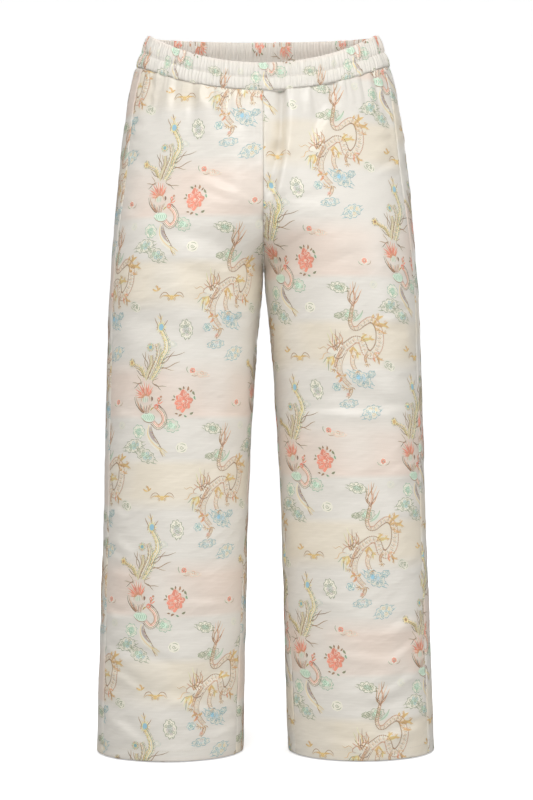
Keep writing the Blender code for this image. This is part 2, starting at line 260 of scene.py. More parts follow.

# %% [markdown]
# ## Creases
# Between the large folds the satin is full of finer creases. The ones on the front are listed one by
# one, in centimetres from the middle and down from the waist: short gathers below the band, drag
# lines over the thighs, and slanting creases that leave the side seams and die out towards the
# shins. A table, not a random scatter, is what makes them fall where such satin bends.

# %% Front creases
CM = 0.01
Crease = namedtuple("Crease", "across drop across_end drop_end width depth bow", defaults=(0.0,))
CREASES = [Crease(*row) for row in (
    # gathers below the band
    (-16.1, 7.6, -15.3, 9.6, 0.6, 0.13), (-13.0, 8.6, -13.2, 11.4, 0.6, 0.12, 0.05),
    (-10.5, 9.3, -10.7, 12.8, 0.7, 0.20), (-8.8, 9.2, -8.0, 11.4, 0.6, 0.14, 0.04),
    (-5.9, 9.8, -5.6, 12.9, 0.6, 0.12), (-3.4, 10.2, -3.8, 14.0, 0.7, 0.14, 0.03),
    (4.4, 9.4, 4.6, 14.2, 0.6, 0.14), (-1.6, 10.0, -1.2, 16.8, 0.7, 0.14, 0.04),
    (6.6, 9.2, 6.2, 12.4, 0.6, 0.13), (8.9, 8.4, 8.7, 11.6, 0.6, 0.20),
    (11.6, 8.0, 12.1, 11.2, 0.6, 0.12, 0.05), (9.3, 7.8, 6.4, 16.4, 0.9, 0.46),
    (14.3, 7.4, 15.1, 10.3, 0.6, 0.13, 0.05),
    # over the hips
    (16.3, 9.6, 18.6, 17.8, 1.0, 0.20, 0.04), (-20.6, 17.6, -17.2, 18.8, 0.6, 0.14, 0.05),
    (-20.3, 15.2, -17.8, 14.0, 0.6, 0.12), (15.6, 17.2, 18.8, 16.0, 0.7, 0.12),
    (16.0, 20.4, 19.4, 19.2, 0.7, 0.13, 0.05),
    # from the crotch to the front
    (-8.5, 21.8, -4.4, 23.6, 0.7, 0.12, 0.04), (-6.0, 23.0, -1.6, 24.8, 0.7, 0.13, 0.04),
    (-7.8, 24.2, -3.6, 25.4, 0.6, 0.10), (4.6, 24.4, 10.8, 22.6, 0.8, 0.12, -0.04),
    (3.2, 26.4, 8.8, 27.8, 0.8, 0.10, 0.04),
    # drag lines over the thighs
    (-20.2, 30.2, -2.6, 32.8, 1.0, 0.15, 0.13), (-19.4, 33.4, -4.6, 36.4, 0.9, 0.10, 0.10),
    (5.0, 35.4, 19.2, 31.6, 1.0, 0.13, 0.10), (-15.4, 36.9, -8.4, 35.8, 0.7, 0.09, 0.03),
    (-4.6, 42.0, -2.2, 40.8, 0.6, 0.09), (-4.2, 46.0, -1.9, 46.9, 0.6, 0.09),
    # across the knees
    (5.5, 53.6, 13.0, 53.5, 0.5, 0.17, 0.02), (12.6, 53.5, 20.6, 52.6, 0.5, 0.20, -0.03),
    (16.4, 40.6, 21.0, 39.8, 0.6, 0.16, 0.04), (17.0, 42.6, 21.2, 43.6, 0.6, 0.13),
    (-8.4, 53.6, -3.4, 53.9, 0.5, 0.08), (17.6, 61.6, 21.2, 60.6, 0.6, 0.13, 0.04),
    # over the shins
    (-21.0, 71.2, -18.4, 72.3, 0.7, 0.14, 0.06), (-10.8, 79.3, -5.6, 79.6, 0.5, 0.10),
    (6.4, 78.9, 10.8, 79.6, 0.5, 0.09), (10.4, 86.6, 16.6, 87.4, 0.6, 0.12, 0.03),
    (16.4, 87.4, 20.2, 85.6, 0.6, 0.15, -0.05), (15.6, 83.8, 21.4, 81.6, 0.7, 0.17, -0.04),
    (-21.4, 85.6, -12.8, 87.8, 0.8, 0.15, 0.06), (-20.6, 89.6, -17.2, 91.6, 0.7, 0.15, 0.05),
    (14.9, 92.4, 20.2, 89.8, 0.7, 0.18, -0.04), (12.4, 95.0, 18.0, 94.0, 0.7, 0.12, 0.05),
    (-14.6, 92.3, -8.6, 94.2, 0.7, 0.12, 0.06), (-8.8, 91.2, -3.6, 89.8, 0.7, 0.13, 0.05),
    (16.0, 98.2, 22.0, 97.2, 0.6, 0.17, 0.06), (8.6, 98.4, 15.4, 99.4, 0.6, 0.10),
    (-22.0, 95.6, -17.4, 98.2, 0.7, 0.14, 0.05), (-6.8, 97.8, -3.6, 96.6, 0.6, 0.12),
)]
print(len(CREASES), "creases on the front")

# %% [markdown]
# ## The crooked fold
# Beside the front seam the cloth lies over itself in one crooked fold, from the waistband nearly
# to the crotch. A real overlap is three layers thick, and could be folded as such. Only its step
# shows from outside, so the panel stays one sheet here: it is lifted on one side of a bent line
# and sunk on the other.

# %% Overlap of the front
Overlap = namedtuple("Overlap", "across drop across_end drop_end lift")
OVERLAPS = (  # the straight stretches of the crooked fold, from the top down
    Overlap(0.0312, 0.068, 0.0285, 0.172, 0.0068),
    Overlap(0.0285, 0.178, 0.0185, 0.226, 0.0062),
    Overlap(0.0185, 0.232, 0.0040, 0.268, 0.0042),
)
OVERLAP_EDGE = 0.0016  # half the breadth of the step
OVERLAP_RISE = 0.021  # how far away the cloth starts to sink towards the step
OVERLAP_FALL = 0.012  # how far the lifted cloth beyond it takes to fall back
OVERLAP_TOP = 0.4  # height of the lifted side, as a share of the whole step


def beside_fold(fold, across, drop):
    """Where places lie by a straight fold: the share of its length (0 to 1) that they are beside,
    how far to its side, how far past its ends, and its length."""
    start = np.array([fold.across, fold.drop])
    run = np.array([fold.across_end, fold.drop_end]) - start
    length = np.linalg.norm(run)
    place = np.stack([across, drop], axis=-1) - start
    share = place @ run / length ** 2
    part = np.clip(share, 0.0, 1.0)
    aside = (place[..., 0] * run[1] - place[..., 1] * run[0]) / length
    return part, aside, (share - part) * length, length


def overlap_lift(across, drop):
    """How far the cloth stands up on one side of the crooked fold, and sinks on the other."""
    lift = 0.0
    for fold in OVERLAPS:
        part, aside, past, length = beside_fold(fold, across, drop)
        beyond = (1.0 + np.tanh(aside / OVERLAP_EDGE)) / 2
        step = (OVERLAP_TOP * beyond * np.exp(-(aside / OVERLAP_FALL) ** 2)
                - (1.0 - beyond) * np.exp(-(aside / OVERLAP_RISE) ** 2))
        lift = lift + fold.lift * step * np.exp(-(past / OVERLAP_FALL) ** 2)
    return lift


print(len(OVERLAPS), "stretches of the front overlap")

# %% [markdown]
# ## The back and the side seams
# The back wears in the same places as the front, so its creases are worked out from the front's.
# The many short puckers where a side seam draws the satin in could be placed by hand too, but they
# follow one another so evenly that a rule with a little unevenness says it better.

# %% Creases of the back and the side seams
BACK_SHIFT = 2.6  # centimetres that the back's creases lie lower than the front's
BACK_SHARE = 0.9  # and their depth as a share of the front's
PUCKERS = 27  # along each side seam, front and back
PUCKER_TOP = 0.135
PUCKER_STEP = 0.0315
PUCKER_WIDTH = 0.0055
PUCKER_BOW = 0.05
PUCKER_EDGE = 0.975  # where a pucker starts, as a share of the half-width


def front_crease(crease):
    """A crease from the table as a fold, in metres."""
    sizes = (value * CM for value in crease[:6])
    return Fold(-1, *sizes, crease.bow)


def back_crease(crease):
    """The like of a front crease on the back: on the other leg, a little lower and softer."""
    turned = front_crease(crease._replace(across=-crease.across, across_end=-crease.across_end))
    lower = BACK_SHIFT * CM * (1 + math.sin(9 * crease.drop))
    return turned._replace(side=1, drop=turned.drop + lower, drop_end=turned.drop_end + lower,
                           depth=turned.depth * BACK_SHARE, bow=-turned.bow)


def side_puckers(side, leg):
    """Short creases that leave a side seam, uneven in their spacing, length, slope and depth."""
    seed = 1.7 * side + 2.9 * leg
    found = []
    for k in range(PUCKERS):
        drop = PUCKER_TOP + PUCKER_STEP * k + 0.009 * math.sin(2.1 * k + seed)
        long = 0.016 + 0.020 * abs(math.sin(1.7 * k + seed))
        lean = 0.010 * math.sin(2.9 * k + 2 * seed)
        edge = float(along("half_width", drop)) * PUCKER_EDGE
        depth = 0.0004 + 0.0007 * abs(math.sin(3.3 * k + seed))
        found.append(Fold(side, leg * edge, drop, leg * (edge - long), drop + lean,
                          PUCKER_WIDTH, depth, PUCKER_BOW))
    return found


folds = list(FOLDS)
folds += [front_crease(crease) for crease in CREASES]
folds += [back_crease(crease) for crease in CREASES]
for side in (-1, 1):
    for leg in (-1, 1):
        folds += side_puckers(side, leg)
print(len(folds), "folds and creases in all")

# %% [markdown]
# ## How a fold is shaped
# A cloth simulation would give folds by chance. Here every fold has its place, so each one is a
# soft bump of depth round its line. A broad one is a trough with a low ridge beside it. A narrow
# one is a ridge with a steep side and a gentle side, as a crease in stiff satin is.

# %% Depth of the folds
SOFT_RIDGE = 0.35  # height of the ridge beside a broad trough, as a share of its depth
SOFT_RIDGE_AT = 1.7  # and its distance from the trough, as a share of the fold's width
NARROW = 0.0078  # creases narrower than this have one steep side and one gentle side
STEEP, GENTLE = 0.6, 1.7  # reach of those sides, as shares of the crease's width
HOLLOW = 0.6  # depth of the hollow behind such a crease, as a share of its height
HOLLOW_AT = 1.5
FOLD_ENDS = 0.45  # depth of a fold at its ends, as a share of its depth in the middle
SWELL = 0.0008  # the cloth between the folds isn't flat either


def drift(across, drop, seed):
    """Low uneven swells, about 6 to 12 cm apart, between -1 and 1."""
    broad = np.sin(52 * across + 23 * drop + seed) * np.sin(61 * drop - 17 * across + 2.1 * seed)
    fine = (np.sin(97 * across - 31 * drop + 3.7 * seed)
            * np.sin(83 * drop + 41 * across + 0.7 * seed))
    return (broad + 0.6 * fine) / 1.6


def sharp_crease(width, aside, past):
    """A steep ridge with a shallow hollow behind it, counted inwards."""
    reach = np.where(aside > 0, STEEP, GENTLE) * width
    ridge = np.exp(-(aside / reach) ** 2 - (past / width) ** 2)
    hollow = np.exp(-(((aside - HOLLOW_AT * width) ** 2 + past ** 2) / width ** 2))
    return HOLLOW * hollow - ridge


def soft_trough(width, aside, past):
    """A broad trough with a low ridge beside it, counted inwards."""
    trough = np.exp(-(aside ** 2 + past ** 2) / width ** 2)
    ridge = np.exp(-((aside - SOFT_RIDGE_AT * width) ** 2 + past ** 2) / width ** 2)
    return trough - SOFT_RIDGE * ridge


def fold_depth(side, across, drop):
    """How far all the folds of one side sink in at a place."""
    depth = SWELL * drift(across, drop, 1.0 + side)
    for fold in folds:
        if fold.side == side:
            part, aside, past, length = beside_fold(fold, across, drop)
            aside = aside - fold.bow * length * (4 * part * (1 - part))
            taper = FOLD_ENDS + (1 - FOLD_ENDS) * np.sin(math.pi * part)
            shape = sharp_crease if fold.width < NARROW else soft_trough
            depth = depth + fold.depth * taper * shape(fold.width, aside, past)
    return depth


print("deepest fold", max(fold.depth for fold in folds) * 1000, "mm")

# %% [markdown]
# ## Flat cloth and worn cloth
# The woven figures and the soft bands of colour belong to the cloth, not to the leg, so each panel
# carries its own flat coordinates: metres to the right of the panel's grain line, and metres down.
# The grain line leans out with the leg. A cloth panel is a bmesh grid. Its points are moved
# onto the outline, and the same flat coordinates become its UV map.

# %% Panels
REPEAT_WIDE = 0.184  # one whole figure of the brocade, side to side
REPEAT_TALL = 0.273  # and from one row of peonies to the next
GRAIN_LINES = {  # drop and distance from the middle, for the grain line of each leg
    1: ((0.045, 0.072), (0.322, 0.0945), (0.598, 0.1215), (0.869, 0.1355), (1.010, 0.141)),
    -1: ((0.045, 0.088), (0.240, 0.100), (0.516, 0.118), (0.786, 0.130), (1.010, 0.138)),
}
PEONY_AT = {  # one peony of each panel, in its flat coordinates
    "front_left": (-0.040, 0.598), "front_right": (0.008, 0.516),
    "back_left": (0.030, 0.560), "back_right": (-0.045, 0.640),
    "waistband_front": (0.049, -0.017), "waistband_back": (0.008, 0.002),
}

Cloth = namedtuple("Cloth", "name piece flat faces points normals")


def grid_sheet(name, columns, rows, flip):
    """A flat grid of quads, ready to be laid on a surface."""
    shaper = bmesh.new()
    bmesh.ops.create_grid(shaper, x_segments=columns, y_segments=rows, size=0.5)
    if flip:
        bmesh.ops.reverse_faces(shaper, faces=shaper.faces)
    mesh = bpy.data.meshes.new(name)
    shaper.to_mesh(mesh)
    shaper.free()
    return add_object(name, mesh)


def lay_points(piece, points):
    """Moves a mesh's points to new places and rounds its shading."""
    piece.data.vertices.foreach_set("co", points.reshape(-1).astype(np.float32))
    piece.data.update()
    piece.data.shade_smooth()


def give_uv(piece, flat, peony):
    """The flat coordinates, counted from a peony, as the UV map "cloth"."""
    mesh = piece.data
    corner = np.zeros(len(mesh.loops), np.int32)
    mesh.loops.foreach_get("vertex_index", corner)
    uv = (flat - np.array(peony))[corner] * np.array([1.0, -1.0])
    mesh.uv_layers.new(name="cloth").data.foreach_set("uv", uv.reshape(-1).astype(np.float32))


def as_cloth(name, piece, flat):
    """Keeps what is needed to lay threads on a sheet: its flat form, its faces and its normals."""
    mesh = piece.data
    mesh.calc_loop_triangles()
    faces = np.zeros(len(mesh.loop_triangles) * 3, np.int32)
    mesh.loop_triangles.foreach_get("vertices", faces)
    points = np.zeros(len(mesh.vertices) * 3, np.float32)
    mesh.vertices.foreach_get("co", points)
    normals = np.zeros(len(mesh.vertices) * 3, np.float32)
    mesh.vertices.foreach_get("normal", normals)
    return Cloth(name, piece, flat, faces.reshape(-1, 3), points.reshape(-1, 3),
                 normals.reshape(-1, 3))


def doubled_area(a, b, c):
    """Twice the area of flat triangles, below 0 where they run the other way round."""
    return (b - a)[:, 0] * (c - a)[:, 1] - (b - a)[:, 1] * (c - a)[:, 0]


def flat_area(cloth):
    """Area of the cut piece before it is worn, in square metres."""
    a, b, c = (cloth.flat[cloth.faces[:, corner]] for corner in range(3))
    return float(np.abs(doubled_area(a, b, c)).sum() / 2)


print("one repeat of the brocade:", REPEAT_WIDE * 1000, "by", REPEAT_TALL * 1000, "mm")

# %% [markdown]
# ## Leg panels
# A real panel is cut flat, gathered at its top, sewn at its sides and turned up at its hem. Here
# the rows follow the waist seam at the top and become level further down. At the bottom the cloth
# turns in round a small roll and goes up again inside, as a real hem does. The panel's edges turn
# in at the seams, with small puckers from the sewing. A grid was chosen because its rows and
# columns run with the weave, so that each point's place on the flat cloth is known.

# %% Rows and columns of a leg panel
EDGE_STEPS = (0.0, 0.0008, 0.0018, 0.0032, 0.0052)  # narrow columns beside the seams
FRONT_COLUMNS = 70
FOLD_COLUMNS = 18  # more columns beside the front seam, where the cloth overlaps itself
FOLD_SHARE = 0.17
BACK_COLUMNS = 104
PANEL_WIDTH = {True: 0.300, False: 0.370}  # front and back, about
TOP_ROWS, TOP_HIGH = 3, 0.004  # beside the waistband
EASE_ROWS, EASE_END = 29, 0.125  # through the gathers
FRONT_ROWS, BACK_ROWS = 225, 150  # down to the hem
HEM_ROWS, HEM_MARGIN = 7, 0.002  # over the turned-up cloth
HEM_ROLL = 0.0011  # radius of the turned edge
HEM_INSIDE_ROWS = 5
ROLL_TURNS = np.radians([45.0, 90.0, 135.0, 180.0])


def panel_levels(is_front):
    """Rows from the waist seam to the edge of the hem, then round the roll and up inside."""
    edge = OUTSEAM - HEM_ROLL
    hem_top = OUTSEAM - HEM_DEPTH - HEM_MARGIN
    stretches = ((BAND_SIDE, BAND_SIDE + TOP_HIGH, TOP_ROWS),
                 (BAND_SIDE + TOP_HIGH, EASE_END, EASE_ROWS),
                 (EASE_END, hem_top, FRONT_ROWS if is_front else BACK_ROWS),
                 (hem_top, edge, HEM_ROWS))
    down = [np.linspace(start, end, count, endpoint=False) for start, end, count in stretches]
    down = np.concatenate(down + [[edge]])
    inside = np.linspace(0.0, HEM_DEPTH - HEM_MARGIN / 2, HEM_INSIDE_ROWS)[1:]
    level = np.concatenate([down, edge + HEM_ROLL * np.sin(ROLL_TURNS), edge - inside])
    inward = np.concatenate([0 * down, HEM_ROLL * (1 - np.cos(ROLL_TURNS)),
                             0 * inside + 2 * HEM_ROLL])
    length = np.concatenate([down, edge + HEM_ROLL * ROLL_TURNS,
                             edge + HEM_ROLL * math.pi + inside])
    return level, inward, length


def panel_shares(is_front):
    """Places across a panel from 0 to 1, closer together beside the seams."""
    steps = np.array(EDGE_STEPS) / PANEL_WIDTH[is_front]
    count = (FRONT_COLUMNS if is_front else BACK_COLUMNS) - 2 * (len(steps) - 1)
    first = FOLD_SHARE if is_front else steps[-1]
    fold = np.linspace(steps[-1], first, FOLD_COLUMNS if is_front else 0, endpoint=False)
    middle = np.linspace(first, 1 - steps[-1], count + 1)
    return np.concatenate([steps[:-1], fold, middle, 1 - steps[:-1][::-1]])


def panel_angles(level, share, is_front):
    """Angles from the rise seam, or the inseam below the crotch, round to the side seam."""
    above = level < CROTCH_DROP
    rise = rise_angle(level, is_front)
    inseam = inseam_angle(level)
    half_gap = SEAM_GAP / 2 / along("front_depth", level)
    if is_front:
        start = np.where(above, rise, inseam + half_gap)
        end = side_seam_angle(level) - half_gap
    else:
        start = np.where(above, -rise, inseam - half_gap)
        end = side_seam_angle(level) - 2 * math.pi + half_gap
    return start + (end - start) * share


for is_front in (True, False):
    print("front" if is_front else "back", "panel:", len(panel_levels(is_front)[0]), "rows of",
          len(panel_shares(is_front)), "points")

# %% Gathers and sewn edges
FINE_EASE = 0.0011  # depth of the finest gathers below the waistband
FINE_PITCH = 3.6  # how many of them there are for each broad wave
FINE_FADE = 0.022  # height over which the shortest of them dies out
EDGE_TURN = 0.0010  # how far the edges of a panel turn in at its seams
EDGE_REACH = 0.0016
PUCKER = 0.0004  # the sewing draws the cloth into small puckers
PUCKER_PITCH = 0.013
PUCKER_REACH = 0.007
UNDER_BAND = 0.0008  # the top edge is sewn in under the waistband
UNDER_REACH = 0.0022


def waves_below_band(level, share, mirror, is_front):
    """The gathers let out into the leg: broad waves, and fine ones that die out sooner."""
    column = share * (FRONT_WAVES if is_front else BACK_WAVES)
    uneven = 0.65 + 0.35 * np.sin(2.3 * column + 1.7 * mirror + 0.8 * is_front)
    below = level - BAND_SIDE
    broad = EASE_DEPTH * uneven * np.cos(math.pi * column)
    broad = broad * (1.0 - smooth_step(below / (EASE_FADE * (0.6 + 0.6 * uneven))))
    wander = 0.9 * np.sin(1.7 * column + mirror) + 0.6 * np.sin(3.1 * column + is_front)
    fine = FINE_EASE * np.cos(math.pi * FINE_PITCH * column + wander)
    fine = fine * (0.6 + 0.4 * np.sin(2.9 * column + 2.0))
    fine = fine * (1.0 - smooth_step(below / (FINE_FADE + 0.030 * uneven)))
    return (broad + fine) * smooth_step(np.minimum(share, 1.0 - share) * 6.0)


def seam_pull(level, share, mirror, is_front):
    """What the sewing does: how far puckers stand out, edges turn in, and the top is sewn under."""
    from_edge = np.minimum(share, 1.0 - share) * PANEL_WIDTH[is_front]
    beat = 2 * math.pi * level / PUCKER_PITCH + 1.3 * np.sin(40 * level) + mirror
    pucker = PUCKER * np.sin(beat) * np.exp(-from_edge / PUCKER_REACH)
    turned_in = EDGE_TURN * np.exp(-(from_edge / EDGE_REACH) ** 2)
    under_band = UNDER_BAND * np.exp(-((level - BAND_SIDE) / UNDER_REACH) ** 2)
    return pucker, turned_in, under_band


print("puckers every", PUCKER_PITCH * 1000, "mm along the seams")

# %% Leg panels
def from_grain_line(points, drop, mirror):
    """How far along its own row each point lies from the grain line of the leg."""
    reach = np.cumsum(np.linalg.norm(np.diff(points[..., :2], axis=1), axis=-1), axis=1)
    reach = np.concatenate([0 * reach[:, :1], reach], axis=1)
    grain = np.array(GRAIN_LINES[mirror])
    grain_x = np.interp(drop[:, 0], grain[:, 0], grain[:, 1])
    at_grain = np.array([np.interp(x, row, dist)
                         for x, row, dist in zip(grain_x, points[..., 0], reach)])
    return reach - at_grain[:, None]


def leg_panel(name, mirror, is_front):
    """One panel of a leg, laid on the outline, folded, sewn and hemmed."""
    level, inward, length = (values[:, None] for values in panel_levels(is_front))
    share = panel_shares(is_front)[None, :]
    angle = panel_angles(level, share, is_front)
    follow = 1.0 - smooth_step((level - BAND_SIDE) / DIP_FADE)
    lower = (waist_seam(angle) - BAND_SIDE) * follow
    drop = level + lower + SEAM_GAP * (level == BAND_SIDE)
    points = plain_point(angle, drop)
    normals = outward(angle, drop)
    to_right = 1.0 if (mirror > 0) == is_front else -1.0
    flat = np.stack([to_right * from_grain_line(points, drop, mirror), length + lower], axis=-1)

    sunk = fold_depth(-1 if is_front else 1, mirror * points[..., 0], drop)
    sunk = sunk * smooth_step((1.0 - share) * 8.0)
    if is_front:
        sunk = sunk - overlap_lift(mirror * points[..., 0], drop)
    waves = waves_below_band(level, share, mirror, is_front)
    pucker, turned_in, under_band = seam_pull(level, share, mirror, is_front)
    out = waves + pucker - sunk - turned_in - under_band - inward
    points = points + normals * out[..., None]

    # The rise seam closes on the middle plane, the hem is level, and the right leg is mirrored.
    above = level[:, 0] < CROTCH_DROP
    points[..., 0] = np.maximum(points[..., 0], SEAM_GAP / 2)
    points[:, 0, 0] = np.where(above, SEAM_GAP / 2, points[:, 0, 0])
    points[..., 2] = np.where(level >= OUTSEAM - HEM_DEPTH, -level, points[..., 2])
    points[..., 0] *= mirror

    # A grid's first row is its lowest one, so the rows are handed over from the bottom up.
    rows, columns = drop.shape[0] - 1, drop.shape[1] - 1
    piece = grid_sheet(name, columns, rows, flip=to_right < 0)
    lay_points(piece, points[::-1])
    flat = flat[::-1].reshape(-1, 2)
    give_uv(piece, flat, PEONY_AT[name])
    return as_cloth(name, piece, flat)


def print_cut(cloth):
    """Prints the size of a sheet's mesh and of the cloth that is cut for it."""
    print(cloth.name, len(cloth.faces), "triangles, cut", round(flat_area(cloth), 3),
          "square metres")


cloths = []
for side_name, mirror in (("left", 1), ("right", -1)):
    cloths.append(leg_panel(f"front_{side_name}", mirror, True))
    cloths.append(leg_panel(f"back_{side_name}", mirror, False))
for cloth in cloths:
    print_cut(cloth)

# %% [markdown]
# ## Waistband
# The waistband is one strip of cloth folded over elastic: up the outside, round the top and down
# the inside. A row of stitches makes two channels of it, and the elastic draws the strip into
# gathers. The strip is much longer than the band, so the figures on it are narrowed.

# %% Rows and columns of the waistband
BAND_COLUMNS = 5  # columns for each gather
BAND_FULLNESS = 1.4  # length of the strip for each length of the band
STITCH_SHARE = 0.54  # how far down the band its row of stitches runs
UPPER_ROWS = 10  # above that row, on the outside
LOWER_ROWS = 9  # and below it
INSIDE_ROWS = 11
INSIDE_END = 0.98  # how far down the inside reaches, as a share of the height
FINE_ANGLES = 2001  # steps for measuring along the band


def plain_point_of_band(angle, share):
    """A point of the waistband before its gathers: share is 0 at its top edge, 1 at its seam."""
    top, bottom = waist_edge(angle), waist_seam(angle)
    drop = top + (bottom - top) * share
    width = along("half_width", drop)
    reach = np.sin(angle)
    depth = np.where(reach > 0, along("front_depth", drop), along("back_depth", drop))
    return np.stack([-width * np.cos(angle), -depth * reach, -drop], axis=-1)


def band_normals(angle, share):
    """The direction that points straight out of the waistband."""
    ahead = plain_point_of_band(angle + 1e-3, share) - plain_point_of_band(angle - 1e-3, share)
    below = plain_point_of_band(angle, share + 0.05) - plain_point_of_band(angle, share - 0.05)
    normal = np.cross(below, ahead)
    normal /= np.linalg.norm(normal, axis=-1, keepdims=True)
    line = plain_point_of_band(angle, share)
    normal *= np.sign(np.sum(normal[..., :2] * line[..., :2], axis=-1))[..., None]
    return normal


def band_places(is_front):
    """Angles along the band, the half gathers up to each, and its distance from the middle."""
    seam = side_seam_angle(BAND_SIDE)
    first, last = (math.pi - seam, seam) if is_front else (3 * math.pi - seam, seam)
    fine = np.linspace(first, last, FINE_ANGLES)
    line = plain_point_of_band(fine, 0.5)
    length = np.concatenate([[0.0], np.cumsum(np.linalg.norm(np.diff(line, axis=0), axis=1))])
    gathers = int(round(length[-1] / GATHER_PITCH))
    places = np.linspace(SEAM_GAP / 2, length[-1] - SEAM_GAP / 2, BAND_COLUMNS * gathers + 1)
    half_gathers = np.linspace(0.0, 2.0 * gathers, len(places))
    return np.interp(places, length, fine), half_gathers, places - length[-1] / 2


def band_rows():
    """Rows up the outside, round the top and down the inside: share of the height, share of the
    way in, and the length of strip used so far."""
    height = BAND_SIDE
    roll = BAND_WALL / 2
    up = np.concatenate([np.linspace(1.0, STITCH_SHARE, LOWER_ROWS)[:-1],
                         np.linspace(STITCH_SHARE, roll / height, UPPER_ROWS)])
    over = roll / height * (1 - np.sin(ROLL_TURNS))
    down = np.linspace(roll / height, INSIDE_END, INSIDE_ROWS)[1:]
    share = np.concatenate([up, over, down])
    inward = np.concatenate([0 * up, (1 - np.cos(ROLL_TURNS)) / 2, 0 * down + 1])
    top = up[-1] * height
    length = np.concatenate([up * height, top - roll * ROLL_TURNS,
                             top - roll * math.pi - (down - down[0]) * height])
    return share, inward, length


for is_front in (True, False):
    print("front" if is_front else "back", "waistband:", len(band_rows()[0]), "rows of",
          len(band_places(is_front)[0]), "points")

# %% Waistband
STITCH_TUCK = 0.0006  # how deep the stitches and the seam pull the casing in
SEAM_TUCK_REACH = 0.05  # as shares of the height
STITCH_TUCK_REACH = 0.03


def channel_puff(share):
    """0 at the stitches and edges, 1 in the middle of each channel."""
    upper = np.sin(math.pi * np.clip(share / STITCH_SHARE, 0, 1))
    lower = np.sin(math.pi * np.clip((share - STITCH_SHARE) / (1 - STITCH_SHARE), 0, 1))
    return np.sqrt(np.clip(upper, 0, 1)) + np.sqrt(np.clip(lower, 0, 1))


def gather_ridges(half_gathers, share, puff, is_front):
    """Upright ridges, uneven in height, that wander a little and die out at the side seams."""
    uneven = 0.70 + 0.55 * np.sin(1.9 * half_gathers + is_front) * np.sin(0.37 * half_gathers)
    wander = (0.75 * np.sin(0.71 * half_gathers + 4.0 * share)
              + 0.65 * np.sin(1.33 * half_gathers - 5.0 * share))
    ends = smooth_step(np.minimum(half_gathers, half_gathers.max() - half_gathers) / 2.0)
    ridge = -GATHER_DEPTH * uneven * np.cos(math.pi * half_gathers + wander) * ends
    return ridge * (0.75 + 0.35 * puff)


def stitched_tuck(half_gathers, share):
    """How far the row of stitches and the waist seam pull the casing in, unevenly."""
    tuck = (STITCH_TUCK * np.exp(-((1 - share) / SEAM_TUCK_REACH) ** 2)
            + STITCH_TUCK * np.exp(-((share - STITCH_SHARE) / STITCH_TUCK_REACH) ** 2))
    return tuck * (1.0 + 0.9 * np.sin(0.9 * half_gathers) * np.sin(0.23 * half_gathers + 1.0))


def waistband(name, is_front):
    """One half of the waistband: a strip up the outside, round the top and down the inside."""
    angle, half_gathers, place = (values[None, :] for values in band_places(is_front))
    share, inward, length = (values[:, None] for values in band_rows())
    puff = channel_puff(share)
    ridge = gather_ridges(half_gathers, share, puff, is_front)
    tuck = stitched_tuck(half_gathers, share)
    out = CASING_PUFF * puff * (1 - 1.3 * inward) + ridge - tuck * (1 - 2 * inward)
    out = out - BAND_WALL * inward
    points = plain_point_of_band(angle, share) + band_normals(angle, share) * out[..., None]
    to_right = 1.0 if is_front else -1.0
    flat = np.stack([0 * share + to_right * place * BAND_FULLNESS, 0 * angle + length], axis=-1)

    piece = grid_sheet(name, angle.shape[1] - 1, share.shape[0] - 1, flip=to_right < 0)
    lay_points(piece, points)
    flat = flat.reshape(-1, 2)
    give_uv(piece, flat, PEONY_AT[name])
    return as_cloth(name, piece, flat)


cloths.append(waistband("waistband_front", True))
cloths.append(waistband("waistband_back", False))
for cloth in cloths[-2:]:
    print_cut(cloth)

# %% [markdown]
# ## Woven figures
# The brocade is a traditional one: dragons and phoenixes among peonies and clouds, in silk threads
# that float on the satin. An image texture would blur from near, so every figure is drawn here as
# a weaver would chart it, in millimetres to the right of a peony and down from it. A mark is one
# piece of drawing, kept as a layer, a path, its widths and a colour. Lower layers come first: a
# pale edge round a figure, its fillings, its lines and its fine details.

# %% Thread colours
COLOURS = {
    "pale": (232, 228, 213), "cream": (237, 231, 216), "sand": (233, 221, 199),
    "straw": (230, 221, 164), "gold": (232, 206, 142), "amber": (219, 181, 128),
    "coral": (238, 150, 128), "peach": (240, 209, 188), "rose": (208, 162, 131),
    "brown": (176, 141, 110), "umber": (144, 115, 96), "mint": (211, 228, 209),
    "jade": (148, 190, 157), "sage": (153, 161, 128), "sky": (162, 207, 226),
    "teal": (139, 180, 187), "mist": (218, 220, 212), "mauve": (192, 178, 174),
}
HALO, FILL, LINE, DETAIL = range(4)
marks = []
print(len(COLOURS), "colours of silk")

# %% [markdown]
# ## Paths and strokes
# A weaver's chart is made of a few kinds of mark. A line is a path with a width, a petal or a
# feather is a spine that swells and closes, a coil winds into its own middle, and a patch is a
# soft closed outline. The points given are few, and a curve through them gives the rest.

# %% Smooth paths
def smooth(points, step=2.4, closed=False):
    """Points every few millimetres along a soft curve through the ones given."""
    points = np.asarray(points, float)
    if closed:
        points = np.vstack([points[-1], points, points[0], points[1]])
    else:
        points = np.vstack([2 * points[0] - points[1], points, 2 * points[-1] - points[-2]])
    curve = []
    for a, b, c, d in zip(points, points[1:], points[2:], points[3:]):
        count = max(1, int(math.ceil(np.linalg.norm(c - b) / step)))
        t = (np.arange(count) / count)[:, None]
        curve.append(0.5 * (2 * b + (c - a) * t + (2 * a - 5 * b + 4 * c - d) * t ** 2
                            + (3 * b - a - 3 * c + d) * t ** 3))
    curve.append(points[-2][None, :])
    curve = np.vstack(curve)
    return curve[:-1] if closed else curve


def beside(path):
    """Which way a path runs at each point, and which way is to its side."""
    ahead = np.gradient(path, axis=0)
    ahead /= np.linalg.norm(ahead, axis=1, keepdims=True) + 1e-9
    return ahead, np.stack([-ahead[:, 1], ahead[:, 0]], axis=1)


